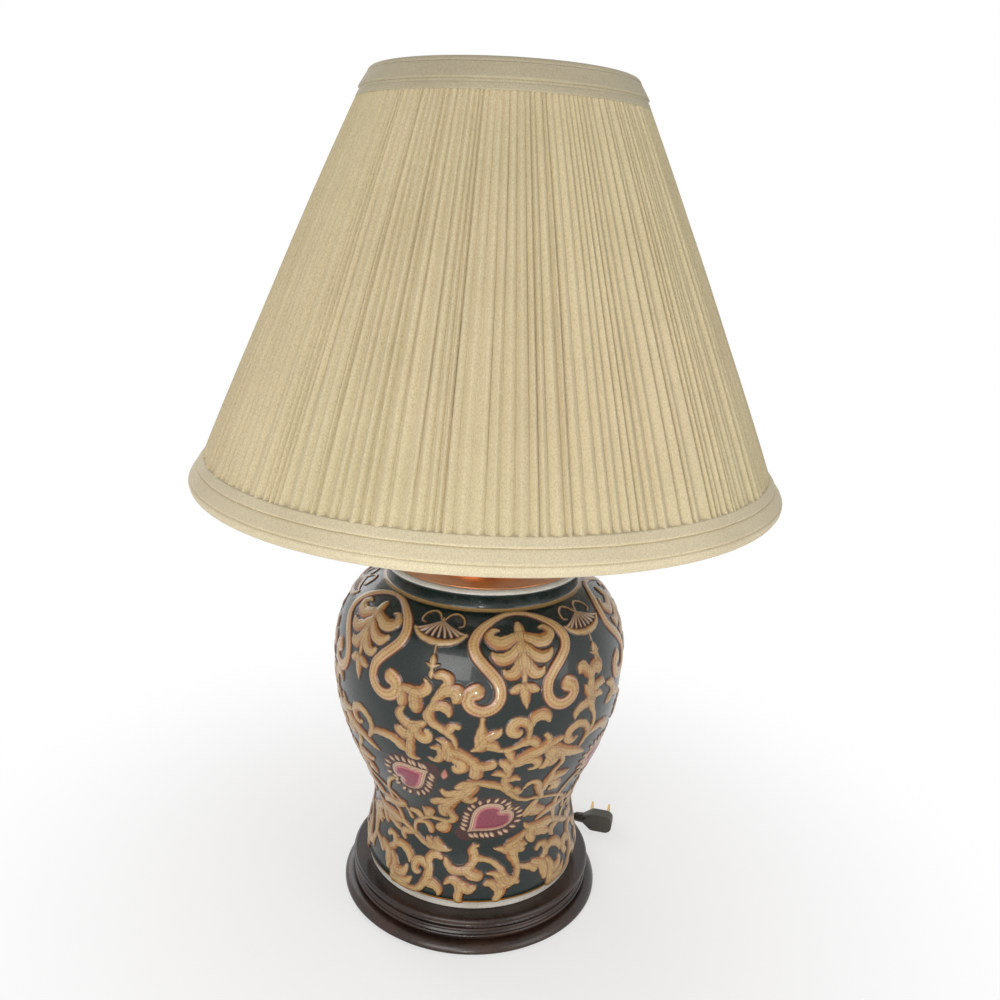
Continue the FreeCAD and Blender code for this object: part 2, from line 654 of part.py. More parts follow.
def knob_hole(radius, depth):
    """A round bar along the knob's axis, out of the front of the lamp holder."""
    return Part.makeCylinder(radius, depth, Vector(0, 0, knob_axis_z()), -Y)


def socket_shell():
    rolled = SHELL_TOP - 1.6
    shell = turned(
        (shell_bore(), SHELL_Z), (HOLDER_R, SHELL_Z), (HOLDER_R, rolled),
        ((HOLDER_R + 0.8, rolled + 0.8), (HOLDER_R, SHELL_TOP)), (shell_bore(), SHELL_TOP))
    return shell.cut(knob_hole(4.2, 30))


def socket_liner():
    outer = shell_bore() - SEAT
    liner = disc(outer, SHELL_H - 5.0, SHELL_Z + 3.0, outer - LINER_T)
    return liner.cut(knob_hole(4.2, 30))


def insulator_r():
    return shell_bore() - 2 * SEAT - LINER_T


def screw_outer_r():
    return SCREW_R + SCREW_WALL


def socket_insulator():
    """Moulded body: a floor with the contacts, and a wall round the screw shell."""
    outer = insulator_r()
    well = screw_outer_r() + SEAT
    body = disc(outer, INSULATOR_H, INSULATOR_Z)
    body = body.cut(Part.makeCylinder(well, SCREW_H + 1, Vector(0, 0, SCREW_Z)))
    body = body.cut(Part.makeCylinder(CONTACT_R + SEAT, 3, Vector(0, 0, SCREW_Z - 2.0)))
    body = body.cut(knob_hole(KNOB_SHAFT_R + FIT, 30).cut(Part.makeCylinder(8, 60, Vector(0, 0, INSULATOR_Z - 5))))
    for side in (-1, 1):
        notch = Part.makeBox(6, 9, 9, Vector(side * (outer - 2.5) - 3, -4.5, INSULATOR_Z))
        body = body.cut(notch)
    return body


def screw_shell():
    """Thin threaded sleeve, drawn here with its rolled ridges left plain."""
    return disc(screw_outer_r(), SCREW_H - 1.0, SCREW_Z + 0.5, SCREW_R)


def centre_contact():
    base = disc(CONTACT_R, 1.0, SCREW_Z - 2.0)
    tongue = disc(CONTACT_R - 1.0, 2.0, SCREW_Z - 1.0)
    return base.fuse(tongue).removeSplitter()


def terminal_screw(side):
    """Brass or nickel screw in its notch at the insulator's side."""
    inner = insulator_r() - 5.5
    shank = Part.makeCylinder(1.4, 2.0, Vector(side * inner, 0, INSULATOR_Z + 4.5), X * side)
    head = Part.makeCylinder(3.0, 1.8, Vector(side * (inner + 2.0), 0, INSULATOR_Z + 4.5), X * side)
    slot = Part.makeBox(4, 8, 0.8, Vector(side * (inner + 5.2) - 2, -4, INSULATOR_Z + 4.1))
    return shank.fuse(head).removeSplitter().cut(slot)


def knob_shaft():
    start = 8.0 + FIT
    length = HOLDER_R + KNOB_GAP + KNOB_L - 3.0 - start
    return Part.makeCylinder(KNOB_SHAFT_R, length, Vector(0, -start, knob_axis_z()), -Y)


def switch_knob():
    """Fluted key on the end of the shaft."""
    near = HOLDER_R + KNOB_GAP
    profile = outline((KNOB_SHAFT_R + 0.05, near), (KNOB_R - 1.6, near), (KNOB_R - 1.2, near + 3.0),
                      (KNOB_R, near + 4.5), (KNOB_R, near + KNOB_L - 1.0), (KNOB_R - 1.0, near + KNOB_L),
                      (0, near + KNOB_L), (0, near + KNOB_L - 3.0 + 0.1),
                      (KNOB_SHAFT_R + 0.05, near + KNOB_L - 3.0 + 0.1))
    knob = profile.revolve(ORIGIN, Z, 360)
    flutes = 12
    for i in range(flutes):
        angle = 2 * math.pi * i / flutes
        knob = knob.cut(Part.makeCylinder(0.8, 12, Vector((KNOB_R + 0.35) * math.cos(angle),
                                                          (KNOB_R + 0.35) * math.sin(angle), near + 4.0)))
    knob.rotate(ORIGIN, X, 90)
    knob.translate(Vector(0, 0, knob_axis_z()))
    return knob


# ---- bulb ----

def bulb_bottom():
    """The bulb's tip stands just clear of the centre contact."""
    return SCREW_Z + 1.0 + FIT


def bulb_contact():
    low = bulb_bottom()
    return turned((0, low), (3.6, low), (4.6, low + 1.2), (4.6, low + 1.8), (0, low + 1.8))


def bulb_cap():
    """Threaded cap with round ridges on a narrowing glass insulator."""
    low = bulb_bottom() + 1.8
    high = bulb_bottom() + BULB_CAP_H
    pitch = 3.4
    z = low + 3.4
    steps = [(BULB_CAP_R - 1.2, low + 3.0), (BULB_CAP_R - 0.9, z)]
    for _ in range(BULB_RIDGES):
        steps.append(((BULB_CAP_R, z + pitch / 2), (BULB_CAP_R - 0.9, z + pitch)))
        z += pitch
    return turned((0, low), (6.0, low), *steps, (BULB_CAP_R, high - 0.4), (BULB_CAP_R, high), (0, high))


def bulb_glass():
    """Pear-shaped envelope: narrow neck, round crown."""
    low = bulb_bottom() + BULB_CAP_H
    top = bulb_bottom() + BULB_H
    centre = top - BULB_R
    wall = BULB_GLASS_T

    def envelope(inset):
        neck = BULB_NECK_R - inset
        radius = BULB_R - inset
        curve = Part.BSplineCurve()
        curve.interpolate([Vector(neck - 1.2, 0, low), Vector(neck, 0, low + 8),
                           Vector((neck + radius) / 2 + 1.0, 0, low + 26), Vector(radius, 0, centre)])
        crown = Part.Arc(Vector(radius, 0, centre),
                         Vector(radius * math.sin(math.pi / 4), 0, centre + radius * math.cos(math.pi / 4)),
                         Vector(0, 0, centre + radius))
        edges = [curve.toShape(), crown.toShape(),
                 Part.makeLine(Vector(0, 0, centre + radius), Vector(0, 0, low)),
                 Part.makeLine(Vector(0, 0, low), Vector(neck - 1.2, 0, low))]
        return Part.Face(Part.Wire(edges)).revolve(ORIGIN, Z, 360)

    return envelope(0.0).cut(envelope(wall))


# ---- lead and plug ----

def inner_cord():
    """The lead inside the lamp: down the rod, round in the recess and out to the relief."""
    bend = 6.0
    low = FELT_T + INNER_CORD_R + 0.8
    route = [Part.makeLine(Vector(0, 0, INSULATOR_Z - 1.0), Vector(0, 0, low + bend)),
             arc_from(Vector(0, 0, low + bend), -Z, Vector(0, bend, low))]
    rise_from = Vector(0, 24.0, low)
    rise_to = Vector(0, 60.0, CORD_EXIT_Z)
    route.append(Part.makeLine(Vector(0, bend, low), rise_from))
    route += biarc(rise_from, Y, rise_to, Y)
    route.append(Part.makeLine(rise_to, Vector(0, RELIEF_TIP_Y - 14.0, CORD_EXIT_Z)))
    return tube(route, INNER_CORD_R, Vector(0, 0, INSULATOR_Z - 1.0), -Z)


def strain_relief():
    """Tapered bush in the base's cord hole, with a flange outside and ribs on the taper."""
    inside = BASE_FOOT_R - 14.0
    outside = BASE_FOOT_R + 0.05
    tip = RELIEF_TIP_Y
    bore = INNER_CORD_R + SEAT
    profile = outline(
        (bore, inside), (RELIEF_R, inside), (RELIEF_R, outside), (RELIEF_FLANGE_R, outside),
        (RELIEF_FLANGE_R, outside + 1.6), (RELIEF_R, outside + 2.2), (CORD_R + 0.35, tip), (0, tip),
        (0, tip - 13.8), (bore, tip - 13.8))
    bush = profile.revolve(ORIGIN, Z, 360)
    rib_gap = 3.0
    for i in range(4):
        z = outside + 4.6 + rib_gap * i
        bush = bush.cut(disc(9, 1.0, z, CORD_R + 0.75))
    bush.rotate(ORIGIN, X, -90)
    bush.translate(Vector(0, 0, CORD_EXIT_Z))
    return bush


def coil_point(turn):
    """A place on the coil, counted in turns from where the lead joins it.

    It winds clockwise seen from above: inwards on the table, up a layer in the half turn
    where it reverses, and outwards on top.
    """
    total = 2 * COIL_TURNS + 0.5
    end = math.radians(COIL_END_DEG)
    angle = end + 2 * math.pi * (total - turn)
    outer_r = COIL_MID_R + COIL_PITCH * COIL_TURNS / 2
    inner_r = outer_r - COIL_PITCH * COIL_TURNS
    if turn < COIL_TURNS:
        radius, climb = outer_r - COIL_PITCH * turn, 0.0
    elif turn < COIL_TURNS + 0.5:
        climb = (1 - math.cos(2 * math.pi * (turn - COIL_TURNS))) / 2
        radius = inner_r - COIL_DIP * math.sin(2 * math.pi * (turn - COIL_TURNS)) ** 2
    else:
        radius, climb = inner_r + COIL_PITCH * (turn - COIL_TURNS - 0.5), 1.0
    return Vector(COIL_X + radius * math.cos(angle), COIL_Y + radius * math.sin(angle),
                  COIL_Z + COIL_RISE * climb)


def coil_heading(turn):
    step = 0.01
    return (coil_point(turn + step) - coil_point(turn - step)).normalize()


def cord_coil():
    """The spare lead, wound in two layers; prints its length and its least gap to itself."""
    quarters = int(round((2 * COIL_TURNS + 0.5) * 4))
    edges = []
    for i in range(quarters):
        start, end = i / 4, (i + 1) / 4
        edges += biarc(coil_point(start), coil_heading(start), coil_point(end), coil_heading(end))
    coil = tube(edges, CORD_R, coil_point(0.0), coil_heading(0.0))
    samples = []
    for edge in edges:
        samples += edge.discretize(6)[:-1]
    per_turn = len(samples) / (quarters / 4)
    least = min(a.distanceToPoint(b) for i, a in enumerate(samples)
                for b in samples[i + int(per_turn / 2):]) - 2 * CORD_R
    length = sum(edge.Length for edge in edges)
    ratio = coil.Volume / (math.pi * CORD_R ** 2 * length)
    print("cord_coil: length %.0f mm, least gap %.2f mm, volume ratio %.4f" % (length, least, ratio))
    return coil, length


def lead_points():
    """From the strain relief down to the table and into the coil."""
    return [Vector(0, RELIEF_TIP_Y, CORD_EXIT_Z), Vector(0, 118.3, 5.3), Vector(-2.5, 129.0, 3.7),
            Vector(-9.2, 147.5, COIL_Z), coil_point(0.0)]


def plug_place(along, across=0.0, up=0.0):
    """A point in the plug's own directions: along its length, across it to the rear, and up."""
    yaw = math.radians(PLUG_YAW_DEG)
    return Vector(PLUG_X + along * math.cos(yaw) - across * math.sin(yaw),
                  PLUG_Y + along * math.sin(yaw) + across * math.cos(yaw), PLUG_Z + up)


def tail_points():
    """From the top of the coil round the side of the base to the plug's neck."""
    start = coil_point(2 * COIL_TURNS + 0.5)
    return [start, Vector(79.1, 141.5, 8.1), Vector(71.3, 127.4, 6.0), Vector(51.4, 115.3, 3.4),
            Vector(44.0, 96.2, COIL_Z), Vector(48.9, 77.2, 3.0), Vector(66.0, 63.4, 4.9), plug_place(0.0)]


def plug_body():
    """Flat angled plug lying on its side: a slim neck that widens to a rounded paddle."""
    half = PLUG_H / 2
    neck = PLUG_NECK_R
    low = [Vector(0, 0, -neck), Vector(3.0, 0, -neck), Vector(15.0, 0, -half),
           Vector(PLUG_L - PLUG_CORNER_R, 0, -half), Vector(PLUG_L, 0, -half + PLUG_CORNER_R)]
    high = [Vector(p.x, 0, -p.z) for p in low]
    edges = [Part.makeLine(low[0], low[1]), *biarc(low[1], X, low[2], X), Part.makeLine(low[2], low[3]),
             arc_from(low[3], X, low[4]), Part.makeLine(low[4], high[4]), arc_from(high[4], Z, high[3]),
             Part.makeLine(high[3], high[2]), *biarc(high[2], -X, high[1], -X),
             Part.makeLine(high[1], high[0]), Part.makeLine(high[0], low[0])]
    body = Part.Face(Part.Wire(edges)).extrude(Vector(0, PLUG_T, 0))
    body.translate(Vector(0, -PLUG_T / 2, 0))
    taper = turned((0, 0), (neck, 0), (neck + 0.5, 6.0), (PLUG_T, 14.0), (PLUG_T, PLUG_L + 1), (0, PLUG_L + 1))
    taper.rotate(ORIGIN, Y, 90)
    body = body.common(taper)
    for x in blade_places():
        body = body.cut(Part.makeBox(BLADE_T + 0.1, BLADE_IN + 0.1, BLADE_W + 0.1,
                                     Vector(x - 0.05, PLUG_T / 2 - BLADE_IN - 0.05, -BLADE_W / 2 - 0.05)))
    return placed_on_plug(body)


def blade_places():
    """Near faces of the two blades along the plug."""
    far = PLUG_L - 5.5
    return [far - BLADE_GAP, far]


def plug_blade(x):
    blade = Part.makeBox(BLADE_T, BLADE_L + BLADE_IN, BLADE_W,
                         Vector(x, PLUG_T / 2 - BLADE_IN, -BLADE_W / 2))
    hole = Part.makeCylinder(1.6, 6, Vector(x - 2, PLUG_T / 2 + BLADE_L - 4.5, 0), X)
    tip = Part.makeBox(BLADE_T, 3, BLADE_W, Vector(x, PLUG_T / 2 + BLADE_L - 1.5, -BLADE_W / 2))
    blade = blade.cut(hole).cut(tip)
    return placed_on_plug(blade)


def plug_blades():
    return Part.makeCompound([plug_blade(x) for x in blade_places()])


def placed_on_plug(shape):
    shape.rotate(ORIGIN, Z, PLUG_YAW_DEG)
    shape.translate(Vector(PLUG_X, PLUG_Y, PLUG_Z))
    return shape


# ---- the lamp ----

def build():
    lead, lead_length = rounded_route(lead_points(), "cord_lead", CORD_R)
    coil, coil_length = cord_coil()
    tail, tail_length = rounded_route(tail_points(), "cord_tail", CORD_R)
    print("free lead: %.0f mm" % (lead_length + coil_length + tail_length))
    return {
        "felt_pad": felt_pad(),
        "wood_base": wood_base(),
        "base_washer": base_washer(),
        "base_nut": base_nut(),
        "ceramic_jar": ceramic_jar(),
        "threaded_rod": threaded_rod(),
        "vase_cap": vase_cap(),
        "neck_spacer": neck_spacer(),
        "harp_saddle": harp_saddle(),
        "saddle_locknut": saddle_locknut(),
        "harp": harp(),
        "harp_ferrule_left": harp_ferrule(-1),
        "harp_ferrule_right": harp_ferrule(1),
        "harp_stud": harp_stud(),
        "socket_cap": socket_cap(),
        "socket_shell": socket_shell(),
        "socket_liner": socket_liner(),
        "socket_insulator": socket_insulator(),
        "screw_shell": screw_shell(),
        "centre_contact": centre_contact(),
        "terminal_screw_left": terminal_screw(-1),
        "terminal_screw_right": terminal_screw(1),
        "knob_shaft": knob_shaft(),
        "switch_knob": switch_knob(),
        "bulb_contact": bulb_contact(),
        "bulb_cap": bulb_cap(),
        "bulb_glass": bulb_glass(),
        "shade_spider": shade_spider(),
        "shade_bottom_ring": shade_bottom_ring(),
        "shade_lining": shade_lining(),
        "shade_pleats": shade_pleats(),
        "shade_top_trim": shade_top_trim(),
        "shade_bottom_trim": shade_bottom_trim(),
        "finial": finial(),
        "inner_cord": inner_cord(),
        "strain_relief": strain_relief(),
        "cord_lead": lead,
        "cord_coil": coil,
        "cord_tail": tail,
        "plug_body": plug_body(),
        "plug_blades": plug_blades(),
    }


def main():
    os.makedirs("parts", exist_ok=True)
    for name, shape in build().items():
        box = shape.BoundBox
        print("%-20s solids %d valid %s volume %9.1f  z %.1f to %.1f"
              % (name, len(shape.Solids), shape.isValid(), shape.Volume, box.ZMin, box.ZMax))
        shape.exportStep("parts/%s.step" % name)


main()
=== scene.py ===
import json
import math

import bmesh
import bpy
import numpy as np
from mathutils import Matrix, Vector

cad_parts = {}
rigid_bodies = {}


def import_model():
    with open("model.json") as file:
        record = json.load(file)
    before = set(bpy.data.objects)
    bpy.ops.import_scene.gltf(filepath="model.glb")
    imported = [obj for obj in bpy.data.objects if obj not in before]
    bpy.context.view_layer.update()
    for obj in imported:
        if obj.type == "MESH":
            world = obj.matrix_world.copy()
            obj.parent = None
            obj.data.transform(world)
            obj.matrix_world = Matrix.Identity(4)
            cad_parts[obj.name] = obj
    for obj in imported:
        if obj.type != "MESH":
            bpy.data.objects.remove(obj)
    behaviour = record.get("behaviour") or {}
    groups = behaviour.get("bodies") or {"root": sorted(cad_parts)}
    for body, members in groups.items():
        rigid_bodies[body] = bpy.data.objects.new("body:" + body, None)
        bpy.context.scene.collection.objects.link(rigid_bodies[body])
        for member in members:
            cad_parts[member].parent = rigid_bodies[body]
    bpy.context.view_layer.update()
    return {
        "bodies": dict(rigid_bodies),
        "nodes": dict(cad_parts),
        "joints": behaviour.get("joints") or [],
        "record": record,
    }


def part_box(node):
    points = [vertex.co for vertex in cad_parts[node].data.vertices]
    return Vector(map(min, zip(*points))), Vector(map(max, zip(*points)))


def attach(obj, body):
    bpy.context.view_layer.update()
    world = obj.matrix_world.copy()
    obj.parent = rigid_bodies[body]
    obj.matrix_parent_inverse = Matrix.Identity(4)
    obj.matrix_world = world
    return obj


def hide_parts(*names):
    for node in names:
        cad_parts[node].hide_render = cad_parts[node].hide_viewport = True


# Looks of a ginger jar table lamp: raised scrolls on a dark glaze, a turned wooden base, a
# pleated shade and a lead. Metres throughout; places on the jar are (degrees round from the
# front, millimetres above the table).

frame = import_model()
MM = 0.001
SEED = 7

# ---- camera and light ----
CAMERA_DISTANCE = 0.6043     # from the lamp's axis
CAMERA_HEIGHT = 0.4465
CAMERA_PITCH = 16.12         # degrees below the horizon
CAMERA_ROLL = 2.77
CAMERA_YAW = 0.83
LENS_MM = 36.0               # on a sensor as wide

# ---- glaze colours (sRGB, 0 to 255) ----
DARK_GLAZE = (14, 30, 26)
OCHRE = (180, 146, 94)
# The pale and the burnt ochre are the enamel's own tones, and they also serve as painted light on each
# stroke's crown and painted shade at its edges.
OCHRE_PALE_AND_LIT = (206, 180, 134)
OCHRE_BURNT_AND_SHADED = (154, 92, 44)
BROWN_LINE = (50, 24, 15)
MAROON = (74, 30, 28)
HEART_CORE = (132, 56, 76)
HEART_ROSE = (184, 112, 116)
HEART_CREAM = (206, 176, 150)
WHITE_GLAZE = (208, 206, 200)
GOLD_LINE = (142, 98, 44)


def linear(colour):
    """sRGB 0..255 to the linear numbers that shaders take."""
    scaled = [c / 255 for c in colour]
    return np.array([c / 12.92 if c <= 0.04045 else ((c + 0.055) / 1.055) ** 2.4 for c in scaled])


def settle(node, **values):
    """Set a node's inputs by name, with _ for a space."""
    for name, value in values.items():
        node.inputs[name.replace("_", " ")].default_value = value
    return node


# ---- camera, light and floor ----

def make_camera():
    pitch, roll, yaw = (math.radians(a) for a in (CAMERA_PITCH, CAMERA_ROLL, CAMERA_YAW))
    right = Vector((math.cos(yaw), -math.sin(yaw), 0))
    ahead = Vector((math.sin(yaw), math.cos(yaw), 0))
    up = Vector((0, 0, 1))
    look = ahead * math.cos(pitch) - up * math.sin(pitch)
    crown = up * math.cos(pitch) + ahead * math.sin(pitch)
    side = right * math.cos(roll) + crown * math.sin(roll)
    crown = crown * math.cos(roll) - right * math.sin(roll)
    data = bpy.data.cameras.new("camera")
    data.lens = LENS_MM
    data.sensor_width = LENS_MM
    data.clip_start = 0.02
    camera = bpy.data.objects.new("camera", data)
    axes = Matrix((side, crown, -look)).transposed().to_4x4()
    camera.matrix_world = Matrix.Translation((0, -CAMERA_DISTANCE, CAMERA_HEIGHT)) @ axes
    bpy.context.scene.collection.objects.link(camera)
    bpy.context.scene.camera = camera


def area_light(name, place, aim, size, watts, colour=(1, 1, 1)):
    data = bpy.data.lights.new(name, "AREA")
    data.size = size
    data.energy = watts
    data.color = colour
    lamp = bpy.data.objects.new(name, data)
    lamp.location = place
    lamp.rotation_euler = (Vector(aim) - Vector(place)).to_track_quat("-Z", "Y").to_euler()
    lamp.visible_camera = False
    bpy.context.scene.collection.objects.link(lamp)


def make_lights():
    middle = (0, 0, 0.22)
    area_light("key", (-0.45, -1.25, 0.50), middle, 0.7, 8.0, (1.0, 0.98, 0.95))
    area_light("fill", (1.2, -0.9, 0.45), middle, 0.9, 5.5, (1.0, 0.98, 0.95))
    area_light("back", (-0.9, 1.2, 0.8), middle, 1.0, 5.5)
    area_light("spark", (0.0, -0.82, 0.035), (0, 0, 0.17), 0.05, 0.8)
    world = bpy.data.worlds.new("studio")
    world.use_nodes = True
    nodes, links = world.node_tree.nodes, world.node_tree.links
    nodes.clear()
    room = settle(nodes.new("ShaderNodeBackground"), Color=(1.0, 0.99, 0.975, 1), Strength=0.42)
    seen = settle(nodes.new("ShaderNodeBackground"), Color=(1, 1, 1, 1))
    mix = nodes.new("ShaderNodeMixShader")
    out = nodes.new("ShaderNodeOutputWorld")
    links.new(seen_directly(nodes, links), mix.inputs["Fac"])
    links.new(room.outputs["Background"], mix.inputs[1])
    links.new(seen.outputs["Background"], mix.inputs[2])
    links.new(mix.outputs["Shader"], out.inputs["Surface"])
    bpy.context.scene.world = world
    bpy.context.scene.view_settings.view_transform = "Standard"


def seen_directly(nodes, links):
    """One for rays from the camera, from gloss or through glass."""
    rays = nodes.new("ShaderNodeLightPath")
    total = rays.outputs["Is Camera Ray"]
    for kind in ("Is Glossy Ray", "Is Transmission Ray"):
        either = nodes.new("ShaderNodeMath")
        either.operation = "MAXIMUM"
        links.new(total, either.inputs[0])
        links.new(rays.outputs[kind], either.inputs[1])
        total = either.outputs["Value"]
    return total


def make_floor():
    """A pale floor that keeps the lamp's shadow and turns white to the camera further off."""
    bpy.ops.mesh.primitive_plane_add(size=60, location=(0, 0, -0.0002))
    floor = bpy.context.object
    floor.name = "floor"
    material = bpy.data.materials.new("pale_floor")
    material.use_nodes = True
    tree = material.node_tree
    shader = settle(tree.nodes["Principled BSDF"], Base_Color=(0.93, 0.93, 0.92, 1), Roughness=0.9)
    white = tree.nodes.new("ShaderNodeEmission")
    place = tree.nodes.new("ShaderNodeTexCoord")
    reach = tree.nodes.new("ShaderNodeVectorMath")
    reach.operation = "LENGTH"
    spread = settle(tree.nodes.new("ShaderNodeMapRange"), From_Min=0.08, From_Max=0.42, To_Min=0.60)
    spread.interpolation_type = "SMOOTHSTEP"
    share = tree.nodes.new("ShaderNodeMath")
    share.operation = "MULTIPLY"
    mix = tree.nodes.new("ShaderNodeMixShader")
    links = tree.links
    links.new(place.outputs["Object"], reach.inputs[0])
    links.new(reach.outputs["Value"], spread.inputs["Value"])
    links.new(spread.outputs["Result"], share.inputs[0])
    links.new(seen_directly(tree.nodes, links), share.inputs[1])
    links.new(share.outputs["Value"], mix.inputs["Fac"])
    links.new(shader.outputs["BSDF"], mix.inputs[1])
    links.new(white.outputs["Emission"], mix.inputs[2])
    links.new(mix.outputs["Shader"], tree.nodes["Material Output"].inputs["Surface"])
    floor.data.materials.append(material)


# ---- the lead ----

CORD_R = 2.65 * MM
COIL_CENTRE = (35.2, 158.0)
COIL_MID_R = 33.0
COIL_PITCH = 6.2
COIL_RISE = 6.0
COIL_DIP = 0.8
COIL_LAYER = 3.5             # turns in each of the two layers
COIL_TOTAL = 7.5
COIL_END_DEG = -1.0
COIL_Z = 2.75
LEAD_POINTS = [(0, 107.3, 6.2), (0, 118.3, 5.3), (-2.5, 129, 3.7), (-9.2, 147.5, 2.75)]
TAIL_POINTS = [(79.1, 141.5, 8.1), (71.3, 127.4, 6.0), (51.4, 115.3, 3.4), (44, 96.2, 2.75),
               (48.9, 77.2, 3.0), (66, 63.4, 4.9), (78.5, 60, 6.9)]
POINTS_PER_TURN = 16
POINT_RADIUS = 0.001          # the bevel is scaled by it, and so is the curve's own box


def coil_point(turn):
    angle = math.radians(COIL_END_DEG) + math.tau * (COIL_TOTAL - turn)
    outer = COIL_MID_R + COIL_PITCH * COIL_LAYER / 2
    inner = outer - COIL_PITCH * COIL_LAYER
    if turn < COIL_LAYER:
        radius, climb = outer - COIL_PITCH * turn, 0
    elif turn < COIL_LAYER + 0.5:
        part = math.tau * (turn - COIL_LAYER)
        radius, climb = inner - COIL_DIP * math.sin(part) ** 2, (1 - math.cos(part)) / 2
    else:
        radius, climb = inner + COIL_PITCH * (turn - COIL_LAYER - 0.5), 1
    x, y = COIL_CENTRE
    return x + radius * math.cos(angle), y + radius * math.sin(angle), COIL_Z + COIL_RISE * climb


def make_cord():
    """The lead in one piece: out of the base, round the coil and back to the plug."""
    count = int(COIL_TOTAL * POINTS_PER_TURN)
    coil = [coil_point(i / POINTS_PER_TURN) for i in range(count + 1)]
    route = [Vector(p) * MM for p in LEAD_POINTS + coil + TAIL_POINTS]
    curve = bpy.data.curves.new("lead", "CURVE")
    curve.dimensions = "3D"
    curve.bevel_depth = CORD_R / POINT_RADIUS
    curve.bevel_resolution = 3
    curve.resolution_u = 4
    curve.use_fill_caps = True
    spline = curve.splines.new("NURBS")
    spline.points.add(len(route) - 1)
    for point, place in zip(spline.points, route):
        point.co = (*place, 1)
        point.radius = POINT_RADIUS
    spline.order_u = 3
    spline.use_endpoint_u = True
    cord = bpy.data.objects.new("lead", curve)
    bpy.context.scene.collection.objects.link(cord)
    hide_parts("cord_lead", "cord_coil", "cord_tail")
    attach(cord, "root")
    return cord


# ---- the raised ornament: strokes of (degrees, height, half width in mm) ----

FRAME_AXES = (-50.5, 17, 84.5, 159.5, 234.5)
SHELL_AXES = (-17, 50, 122, 197, 272)
BODY_REPEATS = 4

FRAME_SIDE = [(0, 221.3, 1.7), (6, 220.8, 1.9), (12, 219, 2.3), (17, 215.5, 2.8), (19.3, 210.5, 3.2),
              (18.3, 205, 3.3), (15.3, 200, 3.3), (12, 195, 3.3), (9.6, 190, 3.3), (8.8, 185, 3.3),
              (9.2, 180, 3.3), (11.2, 175.6, 3.3), (14.8, 173.4, 3.4), (18.4, 175, 3.6),
              (20.2, 179, 3.8), (19.4, 183.5, 4.2), (17.6, 185, 4.8)]
PALMETTE_MID = [
    [(0, 217.8, 1.5), (0, 214, 2.5), (0, 210, 2.2), (0, 200, 2.2), (0, 194, 1.4), (0, 190.5, 1.2)],
    [(0, 187, 2.4), (0.3, 182, 2.2), (0.6, 178, 1.4), (0.9, 174.3, 0.4)],
]
PALMETTE_SIDE = [
    [(-1, 213, 2), (-4.5, 211.8, 2.4), (-8, 210.3, 2.8), (-11.5, 211.2, 2.6), (-13.3, 213.3, 2),
     (-11.5, 215.7, 1.3), (-9, 215.8, 0.6)],
    [(-1.5, 208.5, 2), (-4, 205, 2.4), (-7.5, 202.6, 2.6), (-10.5, 203.5, 2), (-12, 205.6, 0.9)],
    [(-0.8, 203, 2), (-2, 198.5, 2.5), (-4, 194.8, 2.6), (-6.5, 194.8, 1.8), (-7.8, 197, 0.8)],
    [(-1, 188, 1.5), (-3, 186.3, 2), (-4.6, 185.3, 1.4)],
]
SHELL_FRINGE = [(-11.3, 213.6, 1.4), (-7, 210.4, 2.1), (0, 208.9, 2.4), (7, 210.2, 2.1), (11.3, 213.3, 1.4)]
SHELL_ARC = [(0.4, 217.6, 0.7), (2.5, 219.9, 0.9), (6, 220.6, 1.0), (9.3, 219.3, 0.9), (9.8, 217, 0.8),
             (7.6, 216.3, 0.5)]
SHELL_HUB = 217.4
PENDANT = [
    [(0, 207, 0.7), (0, 203.5, 0.5)],
    [(0, 203, 0.6), (0, 199.5, 1.8), (0, 195.5, 1)],
    [(-2.5, 198, 0.5), (0, 196.5, 1), (2.5, 198, 0.5)],
    [(0, 195.5, 0.8), (0, 192, 1.5), (0, 190.3, 0.8)],
]
